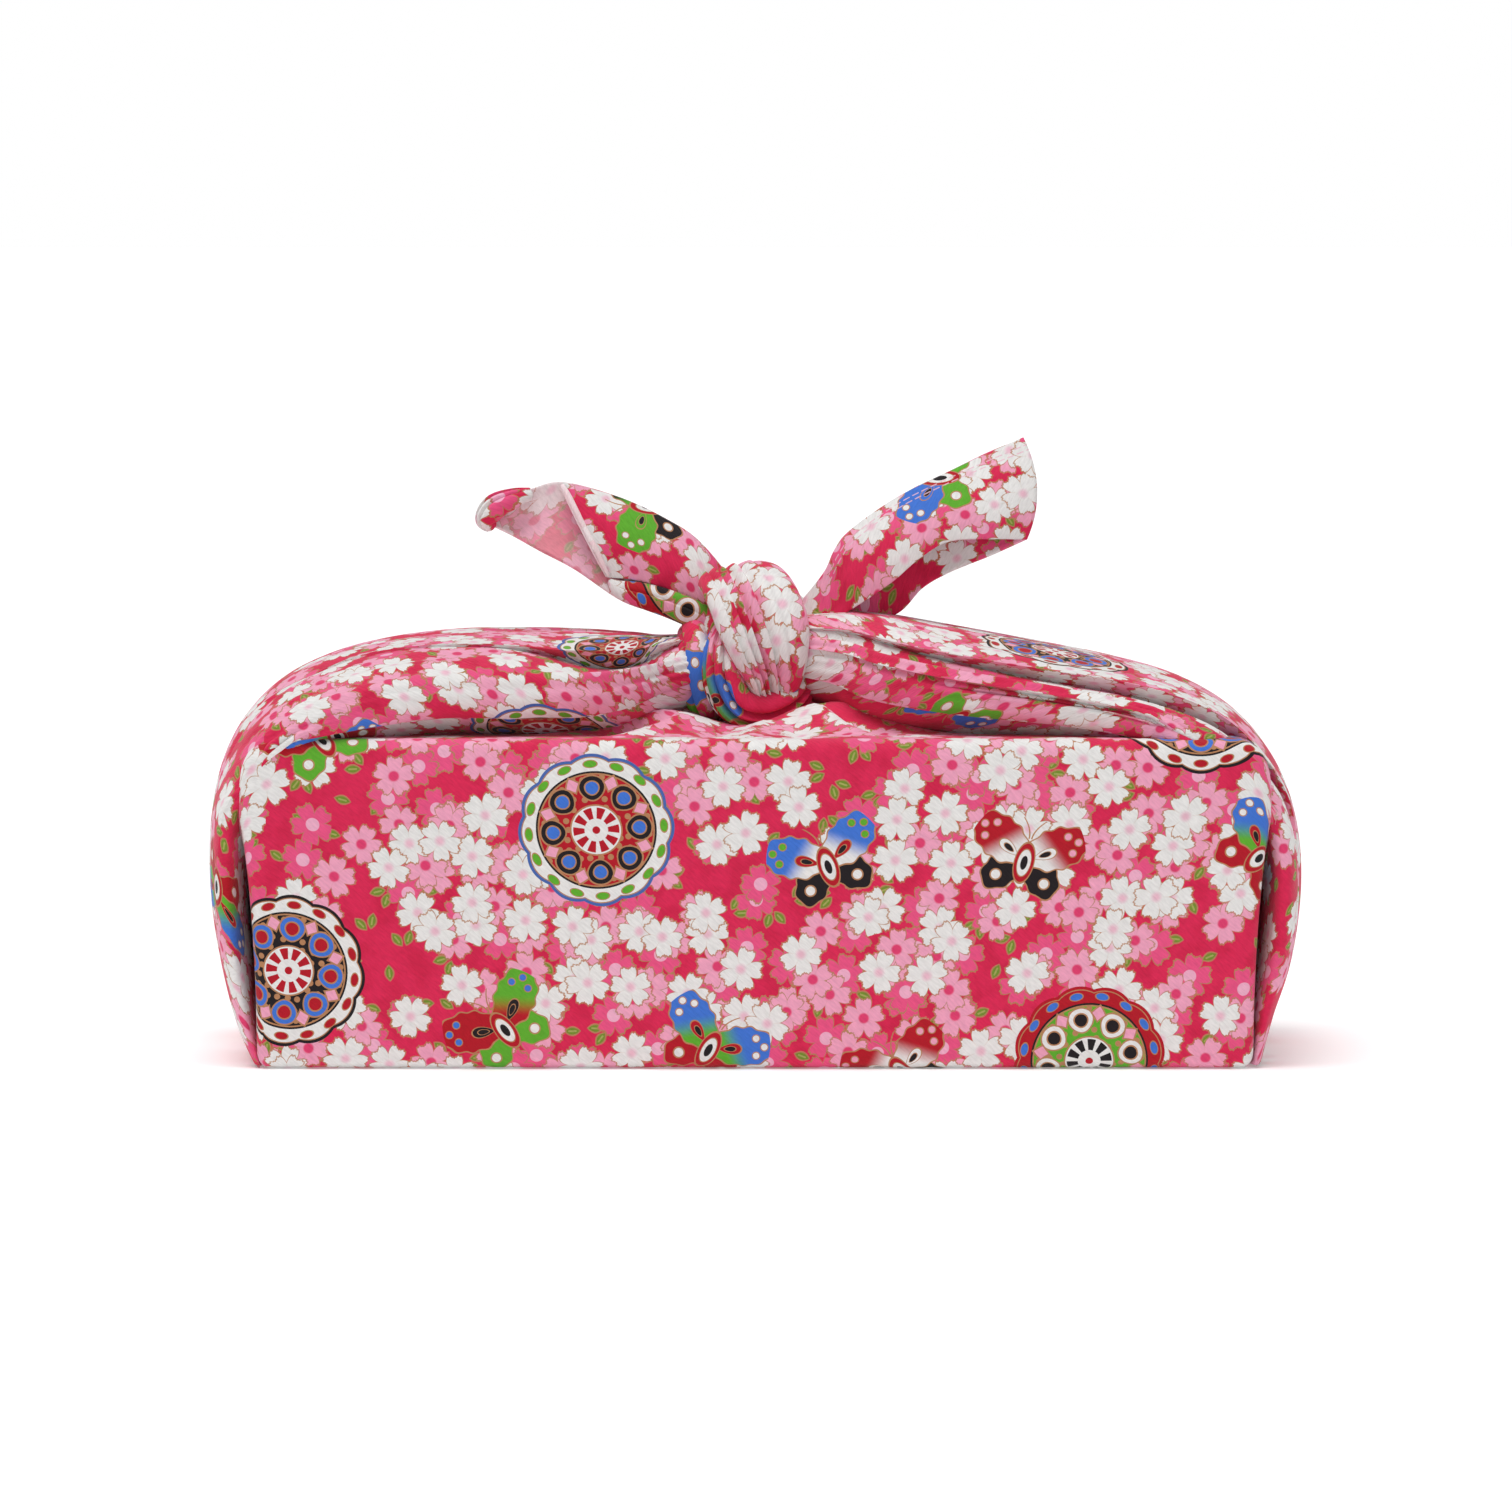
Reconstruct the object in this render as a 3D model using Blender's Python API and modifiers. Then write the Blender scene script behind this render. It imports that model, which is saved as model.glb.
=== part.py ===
"""Furoshiki wrap: one square printed cloth tied round an oblong gift box.

The cloth covers the box on all sides. Its left and right corners rise over the two ends, gather
into two arms that lie on the top, and meet in a square knot with two free ends. +X is to the right
of the front, which faces -Y. The origin is at the middle of the underside.
"""

import bmesh
import bpy
import numpy as np

MM = 0.001

# The wrapped box, in millimetres
BOX_LENGTH = 230.0
BOX_DEPTH = 115.0
BOX_HEIGHT = 76.0
BOX_EDGE = 3.0
BOX_TOP_END_EDGE = 9.0
BOX_FLARE = 4.0
BOX_FLARE_TOP = 0.85
BOX_BELLY = 1.4
BOX_CUTS = 7

# The cloth
CLOTH_THICK = 1.6
CLOTH_COLOUR = (0.76, 0.03, 0.11, 1.0)
CLOTH_ROUGHNESS = 0.85
SHARP_ANGLE = 50.0

# Flap over the top: a low tent that the knot draws up, with one peak on each side of the knot.
# Columns: x, y, height above the box, spread along x, spread along y
FLAP_LENGTH = 150.0
FLAP_DEPTH = 104.0
FLAP_STEP = 6.0
FLAP_EDGE_FROM = 0.75
FLAP_EDGE_SINK = 2.4
FLAP_PEAKS = (
    (15.0, -19.0, 8.0, 12.0, 11.0),
    (-20.0, -18.0, 5.5, 12.0, 11.0),
    (15.0, 17.0, 6.5, 13.0, 11.0),
    (-20.0, 15.0, 5.0, 12.0, 11.0),
)

# End panel and arm, from the floor up the end, over the corner and in to the knot.
# Columns: distance from the middle, height, half thickness, half depth to the front,
# half depth to the back, then the angle of each fold round the section, 0 at the front edge
# and 90 at the outer ridge, and how far each fold sinks
LEFT_ARM = (
    (110.0, 0.8, 6.5, 54.5, 54.5, 20.0, 60.0, 0.0, 0.0),
    (114.0, 14.0, 8.6, 54.5, 54.5, 18.0, 60.0, 0.0, 0.0),
    (117.4, 36.0, 9.8, 54.5, 54.5, 16.0, 60.0, 0.0, 0.0),
    (117.2, 55.0, 10.2, 55.0, 55.0, 14.0, 60.0, 0.2, 0.2),
    (113.6, 68.0, 10.9, 57.4, 57.2, 6.0, 60.0, 0.8, 0.4),
    (106.4, 76.4, 11.7, 58.8, 58.6, -6.0, 60.0, 1.6, 0.6),
    (96.4, 81.4, 12.2, 57.2, 54.5, -16.0, 60.0, 2.4, 0.8),
    (84.0, 84.4, 12.5, 54.0, 50.0, -21.0, 57.0, 2.0, 1.0),
    (70.0, 86.0, 12.6, 51.0, 45.0, -24.0, 52.0, 0.8, 1.8),
    (54.0, 86.0, 13.0, 48.5, 39.0, -26.0, 48.0, 0.4, 2.8),
    (38.0, 86.2, 12.5, 44.0, 32.0, -26.0, 52.0, 0.4, 3.6),
    (28.0, 87.2, 11.0, 33.0, 23.0, -24.0, 58.0, 0.4, 3.2),
    (20.0, 88.4, 9.2, 19.0, 15.0, -20.0, 64.0, 0.3, 2.0),
    (8.0, 91.0, 7.5, 12.0, 12.0, -20.0, 64.0, 0.0, 0.0),
)
RIGHT_ARM = (
    (111.0, 0.8, 6.8, 54.5, 54.5, -4.0, -14.0, 0.0, 0.0),
    (113.2, 13.0, 8.4, 54.5, 54.5, -4.0, -14.0, 0.0, 0.0),
    (116.0, 25.0, 9.8, 54.5, 54.5, -4.0, -14.0, 0.0, 0.0),
    (117.6, 40.0, 10.2, 54.5, 54.5, -4.0, -14.0, 0.4, 0.0),
    (116.6, 53.0, 10.4, 55.0, 55.0, -4.0, -14.0, 1.2, 0.0),
    (112.8, 64.0, 10.4, 58.4, 57.4, 0.0, -14.0, 2.2, 0.0),
    (105.8, 72.4, 10.4, 59.6, 58.6, 9.0, -12.0, 4.2, 0.6),
    (96.0, 78.0, 10.4, 56.4, 54.0, 22.0, -8.0, 5.4, 1.6),
    (82.6, 81.6, 10.8, 52.6, 49.5, 33.0, 0.0, 4.4, 2.6),
    (66.0, 84.2, 11.7, 49.6, 44.0, 37.0, 7.0, 3.4, 2.8),
    (46.0, 86.7, 12.9, 45.6, 36.0, 40.0, 12.0, 3.0, 2.6),
    (29.0, 89.2, 13.4, 32.0, 25.0, 42.0, 14.0, 2.4, 2.0),
    (20.0, 91.6, 11.9, 21.0, 17.0, 42.0, 14.0, 1.4, 1.2),
    (8.0, 93.0, 9.0, 12.0, 12.0, 42.0, 14.0, 0.0, 0.0),
)
# Folds that keep their place round the section. Columns: angle, depth, and 1 where the cloth past
# the angle laps over, or -1 where the cloth before it does
LEFT_STEADY_FOLDS = (
    (125.0, 1.8, -1),
    (152.0, 1.8, -1),
)
RIGHT_STEADY_FOLDS = (
    (-24.0, 1.8, 1),
    (125.0, 1.8, -1),
    (152.0, 1.8, -1),
)
ARM_ROUNDNESS = 2.5
ARM_STEPS = 3
ARM_FOOT = 0.6
FOLD_RUN = 15.0
FOLD_LIP = 3.0
FOLD_VALLEY = 1.0
ANGLE_STEP = 11.0
UNDER_FROM = -0.9
UNDER_TO = -0.5

# Knot: a round heart with three bands of cloth over it.
# Columns: x, y, z along the band's middle, half width, half thickness
KNOT_HEART = (-2.0, 0.0, 94.5)
KNOT_HEART_SIZE = (12.5, 14.0, 16.5)
FRONT_BAND = (
    (-6.0, 14.0, 99.0, 9.0, 4.0),
    (-5.4, 8.0, 107.5, 9.5, 5.0),
    (-3.4, -2.0, 110.4, 10.4, 5.0),
    (-0.6, -11.0, 106.6, 11.0, 5.4),
    (2.4, -15.8, 98.8, 10.8, 5.6),
    (4.2, -16.4, 91.4, 8.6, 5.4),
    (4.8, -14.0, 85.2, 5.8, 4.8),
    (5.0, -7.0, 82.0, 4.4, 4.0),
)
UNDER_BAND = (
    (-7.4, -8.0, 100.0, 4.0, 3.5),
    (-10.0, -13.0, 94.0, 4.6, 4.6),
    (-9.6, -15.8, 87.0, 5.0, 4.8),
    (-5.2, -17.0, 81.2, 4.8, 4.8),
    (2.0, -16.4, 79.9, 4.4, 4.6),
    (8.4, -12.4, 83.0, 4.2, 4.4),
    (11.0, -5.0, 89.0, 4.0, 3.8),
)
COLLAR_BAND = (
    (-14.6, 9.0, 90.0, 4.6, 3.2),
    (-14.8, 5.5, 96.4, 4.6, 3.4),
    (-14.8, -2.0, 97.8, 4.8, 3.6),
    (-14.6, -9.0, 94.0, 5.0, 3.8),
    (-14.4, -11.4, 87.6, 5.0, 3.8),
    (-12.6, -9.0, 81.8, 4.6, 3.6),
    (-9.0, -2.0, 80.0, 4.2, 3.2),
)
BACK_BAND = (
    (6.0, 2.0, 106.0, 9.0, 4.0),
    (4.0, 11.0, 104.0, 10.0, 5.0),
    (2.0, 15.6, 96.0, 10.5, 5.2),
    (-1.0, 14.4, 87.0, 9.5, 5.0),
    (-3.0, 7.0, 80.5, 8.0, 4.0),
)
BAND_STEPS = 3
BAND_AROUND = 18
BAND_PLEATS = 3
BAND_PLEAT_DEPTH = 0.28

# Free ends: each is a strip folded along its top edge into a front leaf and a back leaf.
# Columns: top edge x, y, z, then bottom edge x, y, z, then how far the leaf bows to the front
LEFT_FRONT_LEAF = (
    (-3.0, 1.0, 107.0, -4.0, -3.0, 98.0, 1.5),
    (-12.6, 0.4, 119.0, -13.0, -4.0, 104.4, 2.4),
    (-21.0, 0.2, 124.8, -21.5, -4.6, 108.6, 2.8),
    (-32.3, 0.2, 130.0, -28.8, -4.4, 110.6, 2.8),
    (-45.4, 0.4, 133.4, -34.6, -3.0, 111.0, 2.0),
)
LEFT_BACK_LEAF = (
    (-3.0, 2.0, 107.0, -4.0, 1.0, 95.0, 0.5),
    (-12.6, 1.4, 119.0, -15.2, -2.2, 100.6, -1.0),
    (-21.0, 1.2, 124.8, -22.8, -3.4, 102.6, -1.6),
    (-32.3, 1.2, 130.0, -31.6, -3.2, 105.6, -2.0),
    (-45.4, 1.4, 133.4, -42.4, -0.6, 112.8, -2.6),
    (-53.2, 2.0, 131.7, -50.6, 0.6, 117.1, -2.6),
    (-59.0, 2.4, 130.3, -57.0, 1.6, 120.6, -2.0),
    (-63.8, 2.4, 128.6, -61.6, 2.2, 122.8, -1.0),
)
RIGHT_FRONT_LEAF = (
    (8.0, 1.0, 102.0, 10.0, -3.0, 96.0, 0.5),
    (15.8, 0.2, 111.6, 20.0, -4.6, 102.0, 1.0),
    (18.6, 0.0, 117.4, 26.6, -6.0, 106.2, 1.8),
    (22.2, 0.0, 122.0, 32.8, -6.8, 110.6, 2.2),
    (32.6, 0.2, 129.4, 38.8, -7.0, 115.8, 2.4),
    (43.6, 0.4, 135.0, 45.8, -6.8, 119.7, 2.4),
    (53.8, 0.6, 139.8, 56.0, -6.4, 120.2, 2.2),
    (63.2, 0.8, 144.0, 64.0, -3.6, 120.0, 1.6),
)
RIGHT_BACK_LEAF = (
    (8.0, 2.0, 102.0, 12.0, 1.0, 95.0, 0.0),
    (15.8, 1.6, 111.6, 25.0, 1.4, 99.0, -1.6),
    (22.2, 1.4, 121.8, 34.0, 1.0, 102.6, -3.2),
    (35.4, 1.6, 130.9, 39.6, 0.6, 108.4, -4.2),
    (45.8, 1.8, 136.0, 46.2, 0.0, 112.2, -4.2),
    (54.8, 2.0, 140.4, 55.4, -1.0, 116.0, -3.2),
    (63.2, 2.0, 143.8, 64.0, -2.6, 120.0, -1.0),
)
RIGHT_END_BOW = 2.8
LEAF_ACROSS = 8
LEAF_STEPS = 2

# The left tip curls over to the front. Columns: x, y, z, half width, half thickness
LEFT_CURL = (
    (-52.4, 0.6, 130.8, 1.4, 1.4),
    (-57.0, -0.6, 129.6, 2.6, 2.4),
    (-61.4, -0.8, 127.6, 3.2, 3.0),
    (-63.4, -0.2, 124.6, 2.6, 2.6),
    (-62.0, 1.0, 122.6, 1.4, 1.4),
)


def smooth_rows(rows, steps):
    """Rows of a table with steps - 1 more between each two, on a Catmull-Rom curve through them."""
    table = np.array(rows, float)
    padded = np.vstack((2 * table[0] - table[1], table, 2 * table[-1] - table[-2]))
    spots = np.linspace(0, len(table) - 1, (len(table) - 1) * steps + 1)
    first = np.minimum(spots.astype(int), len(table) - 2)
    t = (spots - first)[:, None]
    a, b, c, d = (padded[first + i] for i in range(4))
    return 0.5 * (2 * b + (c - a) * t + (2 * a - 5 * b + 4 * c - d) * t**2 + (3 * b - a - 3 * c + d) * t**3)


def add_object(name, mesh, collection):
    """A smooth-shaded object for this mesh in the collection."""
    mesh.shade_smooth()
    obj = bpy.data.objects.new(name, mesh)
    collection.objects.link(obj)
    return obj


def loft(name, sections, collection):
    """A closed body from an array of sections x points x 3 in millimetres, with flat end caps."""
    count, around, _ = sections.shape
    ring = np.arange(around)
    following = np.roll(ring, -1)
    starts = np.arange(count - 1)[:, None] * around
    sides = np.stack((starts + ring, starts + following, starts + around + following, starts + around + ring), -1)
    faces = sides.reshape(-1, 4).tolist()
    faces.append(ring[::-1].tolist())
    faces.append((ring + (count - 1) * around).tolist())
    mesh = bpy.data.meshes.new(name)
    mesh.from_pydata(sections.reshape(-1, 3) * MM, [], faces)
    shape = bmesh.new()
    shape.from_mesh(mesh)
    bmesh.ops.recalc_face_normals(shape, faces=shape.faces)
    shape.to_mesh(mesh)
    shape.free()
    return add_object(name, mesh, collection)


def sheet(name, grid, thick, collection):
    """A cloth of this thickness on an array of rows x points x 3 in millimetres."""
    rows, across, _ = grid.shape
    corner = (np.arange(rows - 1)[:, None] * across + np.arange(across - 1)).reshape(-1)
    faces = np.stack((corner, corner + 1, corner + across + 1, corner + across), -1)
    mesh = bpy.data.meshes.new(name)
    mesh.from_pydata(grid.reshape(-1, 3) * MM, [], faces.tolist())
    obj = add_object(name, mesh, collection)
    solidify = obj.modifiers.new("Cloth", "SOLIDIFY")
    solidify.thickness = thick * MM
    solidify.offset = 0.0
    return obj


def wrapped_box(name, collection):
    """The box in its cloth: soft edges, a slight belly, and faces that flare where the arms pull them."""
    shape = bmesh.new()
    bmesh.ops.create_cube(shape, size=1.0)
    bmesh.ops.subdivide_edges(shape, edges=shape.edges, cuts=BOX_CUTS, use_grid_fill=True)
    weight = shape.edges.layers.float.new("bevel_weight_edge")
    for edge in shape.edges:
        edge[weight] = all(abs(abs(v.co.x) - 0.5) < 1e-4 and v.co.z > 0.49 for v in edge.verts)
    for vertex in shape.verts:
        x, y, z = vertex.co
        up = z + 0.5
        belly = 1.0 - (2 * z) ** 2
        length = BOX_LENGTH + 2 * BOX_FLARE * min(up / BOX_FLARE_TOP, 1.0) ** 2
        depth = BOX_DEPTH + 2 * BOX_BELLY * belly * (1.0 - (2 * x) ** 2)
        vertex.co = (x * length * MM, y * depth * MM, up * BOX_HEIGHT * MM)
    mesh = bpy.data.meshes.new(name)
    shape.to_mesh(mesh)
    shape.free()
    obj = add_object(name, mesh, collection)
    for title, limit, width, segments in (
        ("Round top ends", "WEIGHT", BOX_TOP_END_EDGE, 4),
        ("Soft edges", "ANGLE", BOX_EDGE, 3),
    ):
        bevel = obj.modifiers.new(title, "BEVEL")
        bevel.limit_method = limit
        bevel.width = width * MM
        bevel.segments = segments
    return obj


def flap_height(x, y):
    """How far the flap stands above the box: a sum of soft peaks."""
    return sum(
        high * np.exp(-(((x - px) / wide) ** 2) - ((y - py) / deep) ** 2)
        for px, py, high, wide, deep in FLAP_PEAKS
    )


def top_flap(collection):
    """The cloth folded over the top, drawn up in soft peaks beside the knot."""
    x = np.linspace(-FLAP_LENGTH / 2, FLAP_LENGTH / 2, round(FLAP_LENGTH / FLAP_STEP) + 1)
    y = np.linspace(-FLAP_DEPTH / 2, FLAP_DEPTH / 2, round(FLAP_DEPTH / FLAP_STEP) + 1)
    along, across = np.meshgrid(x, y, indexing="ij")
    edge = np.maximum(np.abs(along) * 2 / FLAP_LENGTH, np.abs(across) * 2 / FLAP_DEPTH)
    sunk = FLAP_EDGE_SINK * np.clip((edge - FLAP_EDGE_FROM) / (1 - FLAP_EDGE_FROM), 0, 1)
    height = BOX_HEIGHT + flap_height(along, across) - sunk
    return sheet("top_flap", np.stack((along, across, height), -1), 2 * CLOTH_THICK, collection)


def arm_angles(folds):
    """Angles round each section, in degrees from the front edge, closer together beside each fold.

    folds is sections x folds, in rising order. Every section gets as many angles in each stretch.
    """
    count = len(folds)
    marks = np.stack((folds - FOLD_VALLEY, folds + FOLD_LIP), -1).reshape(count, -1)
    marks = np.hstack((np.full((count, 1), -90.0), marks, np.full((count, 1), 270.0)))
    stretches = []
    for start, end in zip(marks.T, marks.T[1:]):
        steps = max(1, round(float(np.mean(end - start)) / ANGLE_STEP))
        share = np.arange(steps) / steps
        stretches.append(start[:, None] + (end - start)[:, None] * share)
    return np.hstack(stretches)


def fold_sink(angle, fold, depth, lip):
    """A lip over a sharp valley: full depth just under the lip, easing off away from it."""
    away = lip * (fold - angle)
    return depth * np.exp(-np.maximum(away, 0) / FOLD_RUN) * (away > 0)


def arm(name, side, rows, lips, steady_folds, collection):
    """End panel and arm as one loft: rounded sections along the way from the floor to the knot."""
    table = smooth_rows(rows, ARM_STEPS)
    away, height, thick, front, back, fold_a, fold_b, deep_a, deep_b = table.T[..., None]
    strength = np.minimum(1.0, np.maximum(deep_a + deep_b, 0.0))
    folds = [(fold_a, deep_a, lips[0]), (fold_b, deep_b, lips[1])]
    folds += [(angle + 0 * away, depth * strength, lip) for angle, depth, lip in steady_folds]
    angle = arm_angles(np.sort(np.hstack([fold for fold, _, _ in folds]), axis=1))
    cosine = np.cos(np.radians(angle))
    sine = np.sin(np.radians(angle))
    round_off = (np.abs(cosine) ** ARM_ROUNDNESS + np.abs(sine) ** ARM_ROUNDNESS) ** (-1 / ARM_ROUNDNESS)
    wide = np.where(cosine > 0, front, back)
    shown = np.clip((sine - UNDER_FROM) / (UNDER_TO - UNDER_FROM), 0, 1)
    sink = shown * sum(fold_sink(angle, fold, depth, lip) for fold, depth, lip in folds)
    slope_y = cosine / wide
    slope_out = sine / thick
    slope = np.hypot(slope_y, slope_out)
    y = -wide * cosine * round_off + sink * slope_y / slope
    out = thick * sine * round_off - sink * slope_out / slope
    run = np.gradient(away, axis=0)
    rise = np.gradient(height, axis=0)
    x = side * (away + out * rise / np.hypot(run, rise))
    z = np.maximum(height - out * run / np.hypot(run, rise), ARM_FOOT)
    return loft(name, np.stack((x, y, z), -1), collection)


def band(name, rows, collection):
    """A band of cloth round the knot: flat rounded sections with lengthwise pleats on the outside."""
    table = smooth_rows(rows, BAND_STEPS)
    middle = table[:, :3]
    along = np.gradient(middle, axis=0)
    along /= np.linalg.norm(along, axis=1, keepdims=True)
    outward = middle - np.array(KNOT_HEART)
    outward -= along * (outward * along).sum(1, keepdims=True)
    outward /= np.linalg.norm(outward, axis=1, keepdims=True)
    sideways = np.cross(along, outward)
    turn = np.linspace(0, 2 * np.pi, BAND_AROUND, endpoint=False)
    pleats = 1 - BAND_PLEAT_DEPTH * np.abs(np.cos(BAND_PLEATS * turn)) ** 4 * (np.sin(turn) > 0)
    wide = table[:, 3, None] * np.cos(turn)
    thick = table[:, 4, None] * np.sin(turn) * pleats
    sections = middle[:, None] + wide[..., None] * sideways[:, None] + thick[..., None] * outward[:, None]
    return loft(name, sections, collection)


def leaf(name, rows, collection, end_bow=0.0):
    """One layer of a free end: straight from top edge to bottom edge, bowed to the front or back."""
    table = smooth_rows(rows, LEAF_STEPS)
    across = np.linspace(0, 1, LEAF_ACROSS)
    arch = 4 * across * (1 - across)
    top = table[:, None, 0:3]
    bottom = table[:, None, 3:6]
    grid = top + (bottom - top) * across[:, None]
    grid[..., 1] -= table[:, 6, None] * arch
    reach = np.linspace(0, 1, len(table))[:, None] ** 4
    grid[..., 0] += end_bow * reach * arch
    return sheet(name, grid, CLOTH_THICK, collection)


def knot_heart(collection):
    """The rounded middle of the knot, under its bands."""
    shape = bmesh.new()
    bmesh.ops.create_uvsphere(shape, u_segments=16, v_segments=10, radius=1.0)
    mesh = bpy.data.meshes.new("knot_heart")
    shape.to_mesh(mesh)
    shape.free()
    points = np.empty(len(mesh.vertices) * 3)
    mesh.vertices.foreach_get("co", points)
    placed = points.reshape(-1, 3) * np.array(KNOT_HEART_SIZE) + np.array(KNOT_HEART)
    mesh.vertices.foreach_set("co", (placed * MM).reshape(-1))
    return add_object("knot_heart", mesh, collection)


def keep_outer_skin(mesh):
    """Drops the closed inner skins left where folds meet inside the bundle."""
    shape = bmesh.new()
    shape.from_mesh(mesh)
    left = set(shape.verts)
    skins = []
    while left:
        skin = {left.pop()}
        reach = list(skin)
        while reach:
            here = reach.pop()
            near = [edge.other_vert(here) for edge in here.link_edges]
            new = [vertex for vertex in near if vertex not in skin]
            skin.update(new)
            reach.extend(new)
        left -= skin
        skins.append(skin)
    outer = max(skins, key=len)
    inner = [vertex for skin in skins if skin is not outer for vertex in skin]
    bmesh.ops.delete(shape, geom=inner, context="VERTS")
    bmesh.ops.triangulate(shape, faces=shape.faces)
    shape.to_mesh(mesh)
    shape.free()


def cloth_material():
    material = bpy.data.materials.new("printed_cotton")
    material.use_nodes = True
    shader = material.node_tree.nodes["Principled BSDF"]
    shader.inputs["Base Color"].default_value = CLOTH_COLOUR
    shader.inputs["Roughness"].default_value = CLOTH_ROUGHNESS
    shader.inputs["Metallic"].default_value = 0.0
    return material


def furoshiki():
    """The whole tied cloth as one solid: the wrapped box joined with its flap, arms, knot and ends."""
    for obj in list(bpy.data.objects):
        bpy.data.objects.remove(obj, do_unlink=True)
    wrap = bpy.data.collections.new("furoshiki_wrap")
    folds = bpy.data.collections.new("folds_to_join")
    inside = bpy.data.collections.new("box_to_cover")
    for collection in (wrap, folds, inside):
        bpy.context.scene.collection.children.link(collection)

    top_flap(folds)
    arm("left_arm", -1, LEFT_ARM, (1, -1), LEFT_STEADY_FOLDS, folds)
    arm("right_arm", 1, RIGHT_ARM, (1, 1), RIGHT_STEADY_FOLDS, folds)
    knot_heart(folds)
    for name, rows in (
        ("front_band", FRONT_BAND),
        ("under_band", UNDER_BAND),
        ("collar_band", COLLAR_BAND),
        ("back_band", BACK_BAND),
        ("left_curl", LEFT_CURL),
    ):
        band(name, rows, folds)
    leaf("left_front_leaf", LEFT_FRONT_LEAF, folds)
    leaf("left_back_leaf", LEFT_BACK_LEAF, folds)
    leaf("right_front_leaf", RIGHT_FRONT_LEAF, folds, RIGHT_END_BOW)
    leaf("right_back_leaf", RIGHT_BACK_LEAF, folds, RIGHT_END_BOW)
    for fold in folds.objects:
        fold.hide_render = True
        fold.display_type = "WIRE"

    box = wrapped_box("wrapped_box", inside)
    join = box.modifiers.new("Join the folds", "BOOLEAN")
    join.operation = "UNION"
    join.solver = "EXACT"
    join.use_self = True
    join.operand_type = "COLLECTION"
    join.collection = folds
    bpy.context.view_layer.update()
    graph = bpy.context.evaluated_depsgraph_get()
    mesh = bpy.data.meshes.new_from_object(box.evaluated_get(graph))
    keep_outer_skin(mesh)
    mesh.materials.clear()
    mesh.materials.append(cloth_material())
    mesh.name = "furoshiki_cloth"
    cloth = add_object("furoshiki_cloth", mesh, wrap)
    mesh.set_sharp_from_angle(angle=np.radians(SHARP_ANGLE))
    box.hide_render = True
    box.display_type = "WIRE"
    return cloth


furoshiki()
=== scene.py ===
# %% [markdown]
# # A furoshiki tied round an oblong box
#
# A furoshiki is one square of printed cotton. Laid diagonally under a box, its front and back corners
# fold over the top, its left and right corners rise over the two ends, and the knot on top ties them.
# This lesson makes each stretch of that one cloth as a thin surface worked out with numpy, on the
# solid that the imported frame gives, and prints it with one procedural cotton print.

import bmesh
import bpy
import numpy as np
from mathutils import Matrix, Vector


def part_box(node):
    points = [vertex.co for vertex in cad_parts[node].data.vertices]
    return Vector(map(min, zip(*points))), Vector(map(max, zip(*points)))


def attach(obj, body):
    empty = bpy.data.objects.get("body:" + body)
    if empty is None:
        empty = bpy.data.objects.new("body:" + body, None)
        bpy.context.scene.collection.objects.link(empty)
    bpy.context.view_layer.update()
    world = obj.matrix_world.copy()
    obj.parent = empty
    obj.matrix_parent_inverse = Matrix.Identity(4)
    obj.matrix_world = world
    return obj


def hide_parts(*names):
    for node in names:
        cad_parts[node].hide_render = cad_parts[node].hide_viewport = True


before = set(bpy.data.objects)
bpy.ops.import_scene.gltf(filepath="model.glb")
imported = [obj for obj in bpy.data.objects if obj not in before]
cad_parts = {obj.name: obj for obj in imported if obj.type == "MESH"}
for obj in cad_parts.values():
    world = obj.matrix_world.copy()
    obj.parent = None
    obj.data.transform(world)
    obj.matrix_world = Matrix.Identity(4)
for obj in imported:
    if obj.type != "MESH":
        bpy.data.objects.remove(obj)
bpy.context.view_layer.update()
CLOTH_NODE = "furoshiki_cloth"
node_low, node_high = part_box(CLOTH_NODE)
print("bundle in mm:", [round(1000 * (b - a), 1) for a, b in zip(node_low, node_high)])

# %% [markdown]
# ## Units and tables
#
# A maker measures a parcel in millimetres, so the surfaces are worked out in millimetres and made into
# metres only when they become a mesh. Short tables give a section for each step along a stretch of
# cloth, and a smooth curve through the rows fills in the rest.

# %% Millimetres and smooth tables
MM = 0.001
FRONT_AXIS = 1


def through(rows, steps):
    """A Catmull-Rom curve through the rows of a table, with steps pieces between each two rows."""
    table = np.array(rows, float)
    ends = np.vstack((2 * table[0] - table[1], table, 2 * table[-1] - table[-2]))
    spots = np.linspace(0, len(table) - 1, (len(table) - 1) * steps + 1)
    first = np.minimum(spots.astype(int), len(table) - 2)
    t = (spots - first)[:, None]
    a, b, c, d = (ends[first + i] for i in range(4))
    return 0.5 * (2 * b + (c - a) * t + (2 * a - 5 * b + 4 * c - d) * t**2 + (3 * b - a - 3 * c + d) * t**3)


def walked(points, axis):
    """The distance walked along a grid of points in one direction, from 0 at its first row or column."""
    steps = np.linalg.norm(np.diff(points, axis=axis), axis=-1)
    start = np.zeros_like(np.take(steps, [0], axis=axis))
    return np.concatenate((start, np.cumsum(steps, axis=axis)), axis=axis)


def unit(vectors):
    """The vectors made one long."""
    return vectors / np.maximum(np.linalg.norm(vectors, axis=-1, keepdims=True), 1e-9)


def hump(distance, width):
    """A soft bump: 1 in the middle, falling as exp(-(distance / width) squared)."""
    return np.exp(-((distance / width) ** 2))


def eased(value, low, high):
    """0 below low, 1 above high, and a smooth S between them."""
    t = np.clip((value - low) / (high - low), 0, 1)
    return t * t * (3 - 2 * t)


print("a curve through 3 rows:", through([(0, 0), (1, 2), (2, 0)], 2).round(2).tolist())

# %% [markdown]
# ## From grid to cloth
#
# Every stretch of cloth is a grid of points and a grid of places on the flat print. The places are
# real millimetres of cloth, so the blossoms keep their size on every piece, and the crepe grain runs
# with the cloth. A tube has one column less than its places, because its last column is its first.

# %% A mesh from a grid
PRINT_MAP = "print_place"
SAME_POINT = 0.005
CREASE_ANGLE = np.radians(75.0)


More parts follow.
